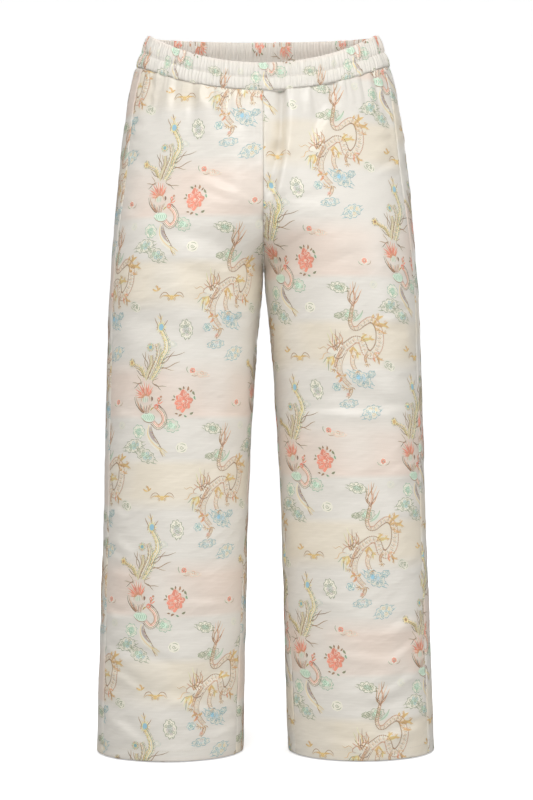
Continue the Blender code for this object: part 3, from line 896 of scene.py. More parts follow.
def facing(degrees):
    """A step of one millimetre in a direction: 0 is to the right, 90 is down."""
    return np.array([math.cos(math.radians(degrees)), math.sin(math.radians(degrees))])


def moved(points, x, y, turn=0.0):
    """Points turned about their own zero, then carried to a place."""
    c, s = math.cos(math.radians(turn)), math.sin(math.radians(turn))
    return np.asarray(points, float) @ np.array([[c, s], [-s, c]]) + [x, y]


print("a curve through 3 points has", len(smooth([(0, 0), (10, 5), (20, 0)])), "points")

# %% Strokes
def stroke(path, widths, colour, layer=LINE, halo=0.0):
    """Adds one mark, and under it a pale edge as broad as the halo asks."""
    path, widths = np.asarray(path, float), np.asarray(widths, float)
    if halo:
        marks.append((HALO, path, widths + 2 * halo, "pale"))
    marks.append((layer, path, widths, colour))


def even(path, width, colour, layer=DETAIL):
    """A thread of the same width all along a path."""
    stroke(path, np.full(len(path), width), colour, layer)


def line(points, width, colour, layer=LINE, ends=(0.5, 0.35), halo=0.0, step=3.0):
    """A woven line. Its width grows from one end and shrinks to the other."""
    path = smooth(points, step)
    part = np.linspace(0.0, 1.0, len(path))
    grow = ends[0] + (1 - ends[0]) * np.minimum(1.0, part * 4)
    shrink = ends[1] + (1 - ends[1]) * np.minimum(1.0, (1 - part) * 4)
    stroke(path, width * np.minimum(grow, shrink), colour, layer, halo)


def leaf(start, bend, end, width, colour, layer=FILL, belly=0.45, halo=0.0, vein=None):
    """A filled petal, flame or leaf: a curved spine with a width that swells and closes."""
    start, bend, end = (np.asarray(p, float) for p in (start, bend, end))
    count = max(3, int(np.linalg.norm(end - start) / 2.8))
    t = np.linspace(0.0, 1.0, count + 1)[:, None]
    path = (1 - t) ** 2 * start + 2 * t * (1 - t) * bend + t ** 2 * end
    power = math.log(0.5) / math.log(belly)
    stroke(path, width * np.sin(math.pi * t[:, 0] ** power) + 0.25, colour, layer, halo)
    if vein:
        even(path, 0.6, vein)


print("layers of thread, from the lowest:", HALO, FILL, LINE, DETAIL)

# %% Coils, patches and tresses
def coil(x, y, radius, turns, start, colour, width=0.8, way=1, layer=LINE):
    """A spiral that winds in to its own middle, from an angle in degrees."""
    part = np.linspace(0.0, 1.0, max(6, int(turns * 7)) + 1)
    angle = math.radians(start) + way * 2 * math.pi * turns * part
    reach = radius * (1 - 0.80 * part)
    path = np.stack([x + reach * np.cos(angle), y + reach * np.sin(angle)], axis=1)
    stroke(path, width * (1 - 0.3 * part), colour, layer)


def patch(points, colour, layer=FILL):
    """A filled area inside a closed soft outline."""
    marks.append((layer, smooth(points, 2.4, closed=True), None, colour))


def disc(x, y, wide, high, colour, layer=FILL, turn=0.0):
    """A filled oval with eight corners."""
    around = np.radians(np.arange(0, 360, 45))
    ring = np.stack([np.cos(around) * wide / 2, np.sin(around) * high / 2], axis=1)
    marks.append((layer, moved(ring, x, y, turn), None, colour))


def tress(root, tips, width, colours, sway=0.14, halo=0.4):
    """Strands that leave one place and bend away together, as hair or thin feathers do."""
    root = np.asarray(root, float)
    for k, tip in enumerate(tips):
        run = np.asarray(tip, float) - root
        aside = np.array([-run[1], run[0]]) * sway * (1.0, 0.55, -0.4)[k % 3]
        line([root, root + run * 0.35 + aside, root + run * 0.75 + aside * 0.2, root + run], width,
             colours[k % len(colours)], ends=(0.7, 0.3), halo=halo)


def draw(figure):
    """Draws a large figure and says how many marks the repeat has now."""
    figure()
    print(len(marks), "marks after the", figure.__name__.replace("_", " "))


def count_marks(figure, *given):
    """How many marks a small figure takes: it is drawn, counted and taken away again."""
    before = len(marks)
    figure(*given)
    count = len(marks) - before
    del marks[before:]
    return count


print(count_marks(leaf, (0, 0), (5, 3), (10, 0), 3, "sage"), "mark in a plain leaf")

# %% [markdown]
# ## Clouds
# Scroll clouds fill the ground between the figures. Each one is a pale oval with a scalloped edge
# and rows of curls, which a loop spaces by its size, so that large and small ones look alike.

# %% Clouds
def cloud(x, y, length, height, turn, edge, inside, accent=None, tails=(1, 1)):
    """A scroll cloud: a scalloped outline, rows of curls and drifting lines at its ends."""
    disc(x, y, 0.96 * length, height, "pale", HALO, turn)
    disc(x, y, 0.50 * length, 0.48 * height, inside, FILL, turn)
    bumps = max(6, round((length + height) * 0.22))
    for k in range(bumps):
        arc = [(0.46 * length * far * math.cos(angle), 0.48 * height * far * math.sin(angle))
               for part, far in ((0.06, 0.96), (0.5, 1.15), (0.94, 0.96))
               for angle in [2 * math.pi * (k + part) / bumps]]
        line(moved(arc, x, y, turn), 0.75, edge, ends=(0.7, 0.7), step=3.6)
    rows = max(2, round(height / 5.0))
    for row in range(rows):
        down = (row + 0.5) / rows * 2 - 1
        reach = math.sqrt(1 - 0.8 * down ** 2)
        count = max(2, round(0.84 * length * reach / 6.0))
        for k in range(count):
            across = ((k + 0.5) / count * 2 - 1) * reach + 0.06 * (-1) ** row
            cx, cy = moved([(0.40 * across * length, 0.35 * down * height)], x, y, turn)[0]
            colour = accent if accent and (k + 2 * row) % 4 == 1 else edge
            coil(cx, cy, 2.9 - 0.8 * abs(across), 1.2, turn + 50 * k + 170 * row, colour, 0.8,
                 (-1) ** k)
    for end, reach in zip((-1, 1), tails):
        if reach:
            near, far = 0.42 * length * end, end * length * (0.48 + 0.18 * reach)
            for level in (-0.10, 0.20):
                drawn = [(near, level * height + 1.0), ((near + far) / 2, level * height),
                         (far, 0.7 * level * height)]
                line(moved(drawn, x, y, turn), 0.75, edge, halo=0.3, step=4.0)


def curl(x, y, size, edge, turn=0.0):
    """A small separate curl of cloud in a broken ring."""
    disc(x, y, 1.4 * size, 1.3 * size, "pale", HALO)
    coil(x, y, 0.24 * size, 1.3, turn, edge, 0.7)
    for start in (20, 140, 250):
        arc = [facing(turn + start + step) * (0.50 * size, 0.44 * size) for step in (0, 40, 80)]
        line(moved(arc, x, y), 0.7, edge, step=3.0)


print(count_marks(cloud, 0, 0, 30, 17, 0, "sage", "mint"), "marks in a cloud 30 mm long,",
      count_marks(curl, 0, 0, 12, "sage"), "in a separate curl")

# %% [markdown]
# ## Peony and bud
# The peony is the brightest figure, and the rest of the repeat is measured from it. Rings of
# petals come from a loop with a little unevenness. The small leaves round it have places of
# their own, because a ring of even leaves would look stamped.

# %% Peony and bud
PEONY_RINGS = (  # reach and breadth of the petals, how many, and where the first one points
    (11.2, 9.6, 8, -96), (7.0, 6.8, 5, -70),
)
PEONY_LEAVES = (  # place, direction, size and colour of each leaf
    (-5.5, -15.5, 215, 5.6, "sage"), (-1.0, -17.5, 265, 4.6, "brown"),
    (5.0, -16.5, 280, 6.6, "rose"), (9.5, -13.5, 310, 4.6, "brown"),
    (13.6, -10.5, 60, 6.4, "sage"), (15.4, -4.0, 70, 5.6, "jade"),
    (-14.0, -1.0, 170, 4.6, "brown"), (-13.0, -5.5, 240, 4.0, "sage"),
    (-3.5, 20.0, 150, 5.4, "brown"), (3.5, 21.0, 30, 4.6, "jade"),
    (11.5, 17.0, -30, 6.0, "sage"), (-9.0, 18.0, 190, 4.4, "brown"),
)


def sprig(x, y, degrees, size, colour):
    """A small leaf with a dark vein and a pale edge."""
    out = facing(degrees) * size
    middle = np.array([x, y])
    bend = middle + facing(degrees + 90) * size * 0.18
    leaf(middle - out / 2, bend, middle + out / 2, size * 0.52, colour, LINE, halo=0.5,
         vein="umber")


def peony(x, y):
    """A full peony: two rings of uneven petals, taller than wide, with small leaves round it."""
    middle = np.array([x, y + 1.0])
    disc(x, y + 1, 22, 28, "pale", HALO)
    for ring, (reach, wide, count, first) in enumerate(PEONY_RINGS):
        for k in range(count):
            degrees = first + k * 360 / count + 10 * math.sin(5 * k + ring)
            out, side = facing(degrees), facing(degrees + 90)
            far = reach * (1 + 0.14 * math.sin(3 * k + 1)) * (1 + 0.34 * abs(out[1]))
            leaf(middle + out, middle + out * far * 0.55 + side, middle + out * far, wide, "coral",
                 (FILL, LINE)[ring], belly=0.62)
            rim = [middle + out * far * 0.62 - side * wide * 0.46,
                   middle + out * far * 0.96 - side * wide * 0.16,
                   middle + out * far * 0.96 + side * wide * 0.20,
                   middle + out * far * 0.60 + side * wide * 0.46]
            line(rim, 0.7, ("peach", "cream", "rose")[k % 3], DETAIL, ends=(0.6, 0.6))
            line([middle + out * far * 0.40, middle + out * far * 0.84 + side * wide * 0.2], 0.7,
                 "peach", DETAIL)
    coil(*middle, 2.8, 1.4, 40, "peach", 0.8, layer=DETAIL)
    for dx, dy, degrees, size, colour in PEONY_LEAVES:
        sprig(x + dx, y + dy, degrees, size, colour)


def bud(x, y, turn=0.0):
    """A small half-open flower with two curling leaves."""
    disc(x, y, 10.5, 9.5, "pale", HALO, turn)
    for degrees in (-150, -95, -40, 20, 100, 165):
        out = facing(turn + degrees)
        leaf(out * 0.4 + [x, y], out * 2.4 + [x, y], out * 4.4 + [x, y], 3.4, "coral", vein="peach")
    coil(x, y, 1.7, 1.1, turn, "umber", 0.8, layer=DETAIL)
    line(moved([(-9, 0.5), (-7, 4.2), (-2, 6.0)], x, y, turn), 0.75, "sage", halo=0.35)
    line(moved([(3, 5.4), (7.5, 3.8), (9.5, -0.5)], x, y, turn), 0.75, "brown", halo=0.35)


print(count_marks(peony, 0, 0), "marks in a peony,", count_marks(bud, 0, 0), "in a bud")

# %% [markdown]
# ## Phoenix
# The phoenix flies down to the left of the peony: long tail feathers with eyes, a fan of wing
# feathers, a shaggy neck and one trailing feather. A feather is a soft body between two edges,
# with a barb at every step of its spine, so one function makes them all.

# %% Feathers
EYE_BARBS = 14


def plume(path, wide, body, barb, shaft):
    """A long tail feather: a soft body between two edges, with barbs that point to the tip."""
    spine = smooth(path, 2.4)
    part = np.linspace(0.0, 1.0, len(spine))
    half = wide / 2 * (0.55 + 0.45 * np.sin(math.pi * part ** 0.8))
    ahead, side = beside(spine)
    stroke(spine, 2 * half, "pale", FILL, halo=0.8)
    stroke(spine - side * half[:, None] * 0.3, 1.1 * half, body, FILL)
    for k in range(1, len(spine) - 1):
        for way in (-1, 1):
            foot = spine[k] + side[k] * way * half[k] * 0.5
            tip = spine[k] + side[k] * way * (half[k] + 1.4) + ahead[k] * 2.2
            stroke([foot, tip], (0.75, 0.45), barb[k % len(barb)])
    even(spine + side * half[:, None] * 0.6, 0.7, barb[0])
    even(spine - side * half[:, None] * 0.9, 0.65, shaft)
    even(spine, 0.6, shaft)


def feather_eye(x, y, wide, high, colour, rings, turn=0.0):
    """The eye of a tail feather: a bright spot in a ring of short barbs."""
    disc(x, y, wide + 7.5, high + 7.5, "pale", HALO, turn)
    for k in range(EYE_BARBS):
        ahead = facing(k * 360 / EYE_BARBS)
        out = moved([ahead * (wide / 2, high / 2)], 0, 0, turn)[0]
        barb = [out * 1.15 + [x, y], out * 1.75 + ahead * 1.2 + [x, y]]
        stroke(barb, (1.0, 0.5), rings[k % len(rings)])
    disc(x, y, wide + 2.6, high + 2.6, "straw", LINE, turn)
    disc(x, y, wide, high, colour, DETAIL, turn)


print(count_marks(feather_eye, 0, 0, 7, 9, "sky", ("gold", "brown")), "marks in a feather's eye")

# %% Tail of the phoenix
PHOENIX_HAIR = (  # root and tip of each hair-like feather
    ((-36, -50), (-16, -67)), ((-36, -48), (-2, -66)), ((-36, -46), (-8, -53)),
    ((-37, -42), (-15, -41)), ((-53, -42), (-62, -65)), ((-53, -43), (-57, -67)),
    ((-52, -44), (-53, -64)), ((-58, -34), (-70, -42)), ((-62, -22), (-69, -36)),
    ((-60, -26), (-76, -25)), ((-60, -24), (-73, -17)), ((-45, -25), (-36, -31)),
    ((-45, -25), (-24, -19)), ((-44, -23), (-31, -14)), ((-43, -96), (-47, -113)),
    ((-33, -97), (-28, -110)),
)


def phoenix_tail():
    """Four long feathers, the eyes at their ends and the loose hair-like ones between them."""
    for k, (root, tip) in enumerate(PHOENIX_HAIR):
        tress(root, [tip], 0.9, ("brown", "umber")[k % 3 == 1:], sway=0.13 * (-1) ** k, halo=0.4)
    plume([(-46, -28), (-40, -38), (-35, -48), (-33, -58), (-27, -68), (-27, -78), (-32, -89),
           (-37, -97)], 8.0, "straw", ("sage", "straw", "brown"), "gold")
    plume([(-50, -29), (-44, -42), (-38, -56), (-37, -66), (-41, -78)], 8.4, "sand",
          ("sage", "brown", "straw"), "brown")
    plume([(-54, -28), (-52, -38), (-47, -50), (-48, -62)], 5.0, "sand", ("brown", "sage"), "straw")
    plume([(-57, -32), (-62, -43), (-70, -47), (-76, -50)], 5.0, "straw", ("gold", "sage"), "brown")
    feather_eye(-37, -100, 7.0, 9.6, "sky", ("gold", "brown", "straw"))
    tress((-38, -107), [(-43, -116), (-40, -119), (-36, -116)], 1.0, ("gold", "brown"))
    feather_eye(-50, -73, 5.2, 5.6, "teal", ("rose", "brown", "jade"))
    feather_eye(-79, -52, 5.0, 5.6, "amber", ("brown", "umber", "gold"))
    disc(-79, -52, 2.2, 2.6, "umber", DETAIL)


draw(phoenix_tail)

# %% Wings of the phoenix
def phoenix_wings():
    """A fan of coral feathers above, and a lower wing of brown and cream ones."""
    for k in range(13):
        degrees, reach = -178 + 11 * k, 13 + 8.5 * math.sin(math.pi * (k + 0.5) / 13) + 1.5 * (k % 2)
        root, out = np.array([-53.0, -4.0]), facing(degrees)
        leaf(root + out * 3, root + out * reach * 0.5 + facing(degrees + 90), root + out * reach, 2.5,
             ("coral", "peach", "coral")[k % 3], belly=0.35, halo=0.5, vein=("rose", "coral")[k % 2])
    disc(-54, -1.5, 9.0, 9.0, "pale", LINE)
    line([(-60, 1), (-58, -6), (-53, -8.5), (-48, -6), (-46, 0)], 1.0, "amber", DETAIL)
    for dx in (-56.5, -53.8, -51):
        line([(dx, -5), (dx + 0.6, 2)], 0.6, "jade", DETAIL)
    leaf((-44.5, -6), (-42.5, -3), (-44, 1), 3.2, "umber", LINE, halo=0.5)
    # The lower wing: brown and cream feathers that close towards the body.
    for k in range(10):
        part = k / 9
        top = (-67 + 24 * part, -1 + 5 * math.sin(math.pi * part) + 4 * part)
        foot = (-57 + 9 * part, 15.5 + 1.5 * part)
        bend = ((top[0] + foot[0]) / 2 - 1.6, (top[1] + foot[1]) / 2 + 1.5)
        leaf(foot, bend, top, 2.2, ("peach", "cream", "mauve", "cream")[k % 4], belly=0.55, halo=0.4)
        line([foot, bend, top], 0.7, ("brown", "rose", "umber")[k % 3], DETAIL)
    line([(-71, -5), (-69, 3), (-64, 10), (-57, 16), (-47, 18)], 1.1, "umber", halo=0.5)
    line([(-69, -6), (-66, 3), (-61, 9), (-55, 14)], 0.7, "brown")


draw(phoenix_wings)

# %% Body and head of the phoenix
def phoenix_body():
    """A green breast, the neck that bends back, the head with its comb, and a trailing feather."""
    patch([(-59, 21), (-53, 17.5), (-44, 17.5), (-39, 22), (-41, 27.5), (-48, 29), (-56, 26.5)],
          "mint", LINE)
    line([(-60, 20), (-53, 16.6), (-44, 16.6), (-38, 21)], 0.9, "cream", DETAIL)
    line([(-59, 23), (-53, 28), (-46, 30), (-40, 28)], 0.9, "brown", DETAIL)
    for dx in range(-56, -40, 3):
        line([(dx, 19.5), (dx + 1.8, 23), (dx, 27)], 0.7, "jade", DETAIL)
    # The neck is shaggy: short overlapping feathers on a curved spine.
    neck = smooth([(-41, 30), (-34, 36), (-27, 32), (-25, 24), (-28, 16), (-33, 11), (-36, 8)], 2.0)
    ahead, side = beside(neck)
    stroke(neck, np.linspace(6.4, 5.4, len(neck)), "cream", FILL, halo=0.8)
    for k in range(len(neck)):
        for way, colour in ((-1, "rose"), (-0.35, "coral"), (0.35, "brown"), (1, "umber")):
            root = neck[k] + side[k] * way * 2.4 + ahead[k] * 1.2
            tip = neck[k] + side[k] * way * 4.0 - ahead[k] * 1.8
            stroke([root, tip], (0.8, 0.45), colour)
    disc(-37, 8, 7.0, 7.4, "coral", LINE)
    disc(-37.6, 8.4, 3.4, 3.0, "peach", DETAIL)
    disc(-37.6, 8.2, 1.3, 1.3, "umber", DETAIL)
    leaf((-40, 9), (-44, 10), (-45.5, 14), 2.4, "gold", LINE, halo=0.4, vein="umber")
    tress((-35, 4), [(-36, -3), (-32.5, -5), (-29.5, -3), (-28, 1)], 1.5, ("rose", "coral"))
    disc(-31, -5.5, 3.4, 3.4, "rose", LINE)
    disc(-34.5, -3.5, 2.2, 2.2, "coral", LINE)
    # The trailing leaf-shaped feather.
    leaf((-46, 33), (-49, 52), (-25, 71), 8.6, "cream", halo=0.7)
    leaf((-45, 35), (-46, 47), (-33, 59), 4.4, "mauve", LINE)
    line([(-47, 33), (-48, 46), (-41, 57), (-30, 66), (-22, 72)], 1.0, "gold", DETAIL)
    line([(-44, 34), (-40, 46), (-34, 55), (-27, 66)], 0.9, "umber", DETAIL)
    for k in range(9):
        px, py = -46 + 2.0 * k, 40 + 3.2 * k
        line([(px, py), (px + 3.6, py + 0.6)], 0.7, "brown" if k % 2 else "straw", DETAIL)
    tress((-30, 64), [(-22, 76), (-25, 77), (-19, 71)], 0.9, ("gold", "brown"))


draw(phoenix_body)

# %% [markdown]
# ## Dragon
# The dragon rises to the right of the peony, tail up and head down, with flames at its joints and
# clouds under its claws. Its body is a spine with beaded edges and rows of scales. Its limbs, its
# flames and its mane are each made by a function of their own, from a root and the tips.

# %% Parts of a dragon
def scaled_body(path, half, fill):
    """A snake's body: a pale filling between two beaded edges, with scales down the middle."""
    spine = smooth(path, 2.1)
    part = np.linspace(0.0, 1.0, len(spine))
    half = np.interp(part, np.linspace(0.0, 1.0, len(half)), half)
    ahead, side = beside(spine)
    stroke(spine, 2 * half, fill, FILL, halo=0.9)
    for k in range(1, len(spine)):
        h = half[k]
        for way, colour in ((1, "brown"), (-1, "rose")):
            bead = [spine[k] + side[k] * way * (h - 1.3),
                    spine[k] + side[k] * way * (h + 0.7) + ahead[k] * 0.6]
            stroke(bead, (0.7, 1.0), colour, DETAIL)
        for row in (-0.2, 0.25):
            middle = spine[k] + side[k] * h * (row + 0.3 * (k % 2) - 0.15)
            scale = [middle + side[k] * h * 0.24, middle + ahead[k] * 1.3,
                     middle - side[k] * h * 0.24]
            stroke(scale, (0.45, 0.7, 0.45), ("amber", "brown", "peach")[k % 3], DETAIL)
    even(spine + side * half[:, None], 0.65, "brown", LINE)
    even(spine - side * half[:, None], 0.6, "rose", LINE)


def flames(root, tips, wide, colours):
    """Curling flames that leave one place."""
    root = np.array(root, float)
    for k, tip in enumerate(tips):
        tip = np.array(tip, float)
        run = tip - root
        bend = root + run * 0.55 + np.array([-run[1], run[0]]) * (0.30 if k % 2 else -0.16)
        leaf(root, bend, tip, 0.8 * wide, colours[k % len(colours)], halo=0.5, vein="amber")
        coil(*(tip - run * 0.18), wide * 0.42, 1.1, 60 * k, "amber", 0.7, layer=DETAIL)


def claw(x, y, degrees, spread=24, size=5.0):
    """A foot with hooked toes."""
    disc(x, y, 3.8, 3.8, "sand", LINE)
    for k in range(-2, 2):
        out = facing(degrees + spread * (2 * k + 1))
        tip = out * size + facing(degrees + spread * (2 * k + 1) + 55) * size * 0.5
        line([(x, y), out * size * 0.8 + [x, y], tip + [x, y]], 1.1, "amber" if k % 2 else "brown",
             LINE, ends=(1.0, 0.25), halo=0.45)


def limb(path, wide, fill):
    """A leg: a filled shape with striped muscles and dots."""
    spine = smooth(path, 2.0)
    half = wide / 2 * np.linspace(1.15, 0.75, len(spine))
    ahead, side = beside(spine)
    stroke(spine, 2 * half, fill, FILL, halo=0.8)
    even(spine + side * half[:, None], 0.75, "rose", LINE)
    even(spine - side * half[:, None], 0.75, "brown", LINE)
    for k in range(1, len(spine) - 1):
        for across in (-0.45, 0.15, 0.65):
            spot = spine[k] + side[k] * half[k] * across
            stroke([spot - ahead[k] * 0.6, spot + ahead[k] * 0.7], (0.8, 0.5),
                   ("amber", "brown", "rose")[(k + int(2 * across)) % 3], DETAIL)


print(count_marks(claw, 0, 0, 90), "marks in a claw")

# %% Tail, body and flames of the dragon
DRAGON_SPINE = (  # from the tail, round the coil, to the neck
    (60.5, 60), (58, 68), (55.5, 77), (54, 86), (57, 93), (64, 93), (72, 87), (82, 82), (90, 86),
    (94, 97), (93.5, 110), (89, 121), (80, 129), (72, 126), (69, 117), (66, 110), (58, 109),
    (50, 114), (43, 119),
)
DRAGON_HALF = (1.5, 2.0, 2.2, 2.8, 3.6, 4.2, 5.0, 5.7, 6.0, 5.8, 5.0, 4.5, 4.8, 5.0)


def dragon_tail():
    """The tuft of the tail, and the whole body from there to the neck."""
    tress((60, 63), [(55, 38), (59, 33), (63, 30), (67, 31), (71, 35), (74, 41), (57, 45)], 1.15,
          ("brown", "peach", "rose"), sway=-0.16)
    tress((60, 64), [(53, 51), (66, 44), (70, 48), (62, 40)], 0.85, ("umber", "rose"))
    scaled_body(DRAGON_SPINE, DRAGON_HALF, "cream")


def dragon_flames():
    """Flames that stream from the shoulder, the belly and the hips."""
    flames((86, 88), ((88, 74), (95, 72), (103, 76), (109, 84), (111, 93), (106, 100), (99, 88)),
           5.2, ("gold", "amber"))
    flames((66, 110), ((76, 101), (83, 103), (87, 109), (72, 100)), 4.4, ("gold", "straw"))
    flames((55, 118), ((49, 125), (54, 134), (60, 136), (65, 130)), 4.6, ("gold", "amber", "straw"))
    flames((84, 127), ((92, 128), (97, 137), (90, 143), (84, 140)), 3.4,
           ("coral", "amber", "brown"))


draw(dragon_tail)
draw(dragon_flames)

# %% Legs of the dragon
def dragon_legs():
    """Four limbs with their claws. The lowest one holds a flaming ball."""
    limb([(44, 121), (38, 131), (34, 142), (34, 154), (39, 164), (46, 172)], 7.0, "cream")
    flames((36, 158), ((29, 152), (27, 160), (31, 167), (42, 156)), 3.6, ("coral", "amber"))
    claw(46, 174, 80)
    claw(39, 173, 130, size=4.4)
    limb([(57, 124), (53, 133), (52, 142), (55, 150)], 6.0, "cream")
    claw(57, 152, 60, size=4.0)
    limb([(41, 119), (36, 127), (31, 136), (27, 147)], 3.6, "cream")
    claw(26, 149, 105, size=3.8)
    limb([(74, 128), (70, 134), (71, 141)], 3.4, "sand")
    claw(72, 142, 80, size=3.6)
    limb([(46, 175), (45, 182), (40, 188)], 4.4, "cream")
    disc(42, 184, 5.0, 5.0, "coral", LINE)
    coil(42, 184, 2.6, 1.3, 0, "cream", 0.8, layer=DETAIL)


draw(dragon_legs)

# %% Head of the dragon
def dragon_head():
    """Seen from the side and facing down to the left, with a fan of mane, a beard and whiskers."""
    mane = [(22, 109), (24, 104), (28, 100), (32, 103), (36, 104), (39, 108), (19, 114), (43, 106)]
    tress((29, 124), mane, 1.15, ("brown", "peach", "rose", "amber"), sway=0.12)
    tress((33, 124), [(30, 108), (35, 106), (24, 113), (41, 111)], 0.95,
          ("umber", "cream", "brown"), sway=-0.12)
    tress((30, 122), [(26, 92), (33, 94), (21, 99), (40, 97)], 0.9, ("straw", "brown"))
    patch([(44, 118), (40, 113), (34, 113), (29, 117), (24, 118), (19, 122), (18, 127), (23, 129),
           (28, 128), (27, 132), (33, 134), (40, 131), (44, 125)], "pale", HALO)
    patch([(43, 119), (39, 115), (34, 115), (30, 118), (25, 120), (20, 123), (20, 126), (26, 127),
           (31, 129), (35, 131), (40, 128)], "cream")
    disc(36.5, 121.5, 6.8, 6.4, "cream", LINE)
    coil(36.5, 121.5, 3.2, 1.3, 200, "brown", 0.9, layer=DETAIL)
    line([(43, 117), (38, 113.5), (33, 114), (29, 117.5), (24, 118.5), (19.5, 122), (19, 126),
          (24, 127)], 1.0, "rose", DETAIL)
    line([(31, 128), (28, 131), (31, 134.5), (38, 133), (43, 127)], 1.0, "umber", DETAIL)
    disc(30.5, 120.5, 2.0, 1.6, "umber", DETAIL)
    line([(27, 118.5), (31, 116.8), (34, 118)], 1.0, "umber", DETAIL)
    for k in range(4):
        line([(22.5 + 2 * k, 126.5), (23.2 + 2 * k, 128.8)], 0.8, "cream", DETAIL)
    for horn in (((38, 114), (35, 106), (29, 100)), ((41, 115), (41, 106), (37, 99))):
        line(horn, 1.1, "rose", LINE, ends=(1.0, 0.3), halo=0.5)
    for whisker in (((20, 122), (14, 118), (9, 121), (5, 118)),
                    ((20, 126), (14, 128), (11, 134), (6, 135))):
        line(whisker, 0.9, "amber", halo=0.4)
    flames((27, 131), ((17, 134), (18, 141), (23, 144), (28, 140)), 4.6, ("straw", "straw", "gold"))
    tress((22, 132), [(15, 146), (18, 151), (21, 153), (11, 140)], 0.9, ("straw", "sage"))


draw(dragon_head)

# %% Clouds of the dragon, and bats
def dragon_clouds():
    """The clouds that the dragon treads on, and the ones under its tail."""
    cloud(61, 162, 33, 19, 32, "teal", "mist", accent="sky")
    disc(58, 160, 5.4, 6.4, "sky", LINE)
    cloud(76, 156, 14, 9, -20, "teal", "cream", tails=(0, 0))
    cloud(27, 173, 11, 11, 80, "teal", "mint", tails=(0, 0))
    cloud(42, 196, 26, 11, -8, "teal", "mist", accent="mauve", tails=(0.4, 0))
    cloud(53, 75, 26, 15, -12, "sage", "mint", accent="jade", tails=(0, 0))
    cloud(39, 76, 11, 8, 0, "sage", "cream", tails=(0.6, 0))
    leaf((58, 84), (69, 80), (73, 69), 4.0, "mint", halo=0.5, vein="sage")


def golden_bat(x, y):
    """A small good-luck bat in gold, with thin brown edges to its wings."""
    disc(x, y + 1, 13, 8, "pale", HALO)
    for way in (-1, 1):
        upper = [(x + way * 3, y - 1), (x + way * 8, y - 6), (x + way * 13, y - 5),
                 (x + way * 17, y + 1)]
        lower = [(x + way * 3, y + 2), (x + way * 8, y - 2), (x + way * 13, y - 1),
                 (x + way * 16, y + 2)]
        line(upper, 1.0, "brown", halo=0.4)
        line(lower, 0.9, "amber", halo=0.3)
        leaf((x + way, y), (x + way * 5, y - 3), (x + way * 10, y - 1), 3.0, "gold", vein="amber")
        coil(x + way * 4.5, y + 3, 2.0, 1.2, 90, "amber", 0.8, way)
    disc(x, y + 1, 6.0, 7.0, "gold", LINE)
    coil(x, y + 1, 2.6, 1.4, 30, "amber", 0.8, layer=DETAIL)


draw(dragon_clouds)
print(count_marks(golden_bat, 0, 0), "marks in a bat")

# %% [markdown]
# ## One repeat
# The loom weaves the same figures again and again, so one repeat is enough. The phoenix and the
# dragon are already in it. The peony stands at its zero, and buds, a bat, flames and clouds fill
# the ground between them. Places are in millimetres from the peony, to the right and down.

# %% One repeat
REPEAT_CLOUDS = (  # place, length, height, turn, edge, inside, accent and the reach of the tails
    (43, 38, 25, 14, 12, "sage", "mint", None, (1, 1)),
    (-15, 34, 22, 17, 20, "jade", "mint", "mint", (0, 0.4)),
    (-62, 42, 18, 18, -40, "jade", "mint", "mint", (0, 0)),
    (-50, 75, 30, 17, 28, "sage", "mint", "teal", (1, 1)),
    (114, 62, 30, 17, -14, "sage", "mint", "teal", (1, 1)),
    (-2, 176, 27, 17, 78, "sage", "mist", "mauve", (0, 0.4)),
    (72, 208, 28, 17, -24, "teal", "mist", "gold", (1, 1)),
    (-20, 196, 13, 9, 20, "mist", "cream", None, (0.5, 0.5)),
    (22, -36, 20, 8, 6, "peach", "cream", "rose", (1, 1)),
)
REPEAT_CURLS = (  # place, size, edge and turn
    (0, 64, 12, "sage", 0), (103, 143, 11, "sage", 80), (-76, 146, 10, "sage", 200),
    (92, 34, 9, "mist", 120),
)

peony(0, 0)
bud(82, 2)
bud(10, 232, 40)
golden_bat(-24, 132)
flames((-44, 124), ((-52, 121), (-47, 116), (-40, 120)), 3.4, ("gold", "amber"))
for placed in REPEAT_CLOUDS:
    cloud(*placed)
for placed in REPEAT_CURLS:
    curl(*placed)
print(len(marks), "marks in one repeat")

# %% [markdown]
# ## Laying the threads on the cloth
# Every mark becomes a narrow strip between two rows of points. All the strips of a panel are one
# long bmesh grid, one quad high: each strip takes a run of its columns, and the quads between two
# runs are deleted. The points are then moved: the flat form of the panel says which triangle of
# the worn cloth a point falls on, and the same place in that triangle, raised by a fraction of a
# millimetre, is where it goes. What reaches past the panel's edge is cut off at the seam.

# %% Strips
MM = 0.001
LAYER_RISE = 0.00006  # each layer of thread lies this much above the one below
THREAD_RISE = 0.00012  # and the lowest one this much above the satin
DYE_UNEVEN = 0.10  # how much lighter or darker a thread may be than its colour

Strip = namedtuple("Strip", "upper lower upper_rise lower_rise colour")


def linear(colour):
    """A screen colour from 0 to 255 as the renderer's linear values."""
    share = np.asarray(colour, float) / 255.0
    return np.where(share <= 0.04045, share / 12.92, ((share + 0.055) / 1.055) ** 2.4)


def refined(path, widths, longest):
    """The same path with no step longer than the given one."""
    steps = np.linalg.norm(np.diff(path, axis=0), axis=1)
    counts = np.maximum(1, np.ceil(steps / longest).astype(int))
    place = np.concatenate([[0.0]] + [k + np.arange(1, n + 1) / n for k, n in enumerate(counts)])
    index = np.arange(len(path))
    path = np.stack([np.interp(place, index, path[:, k]) for k in (0, 1)], axis=1)
    return path, (None if widths is None else np.interp(place, index, widths))


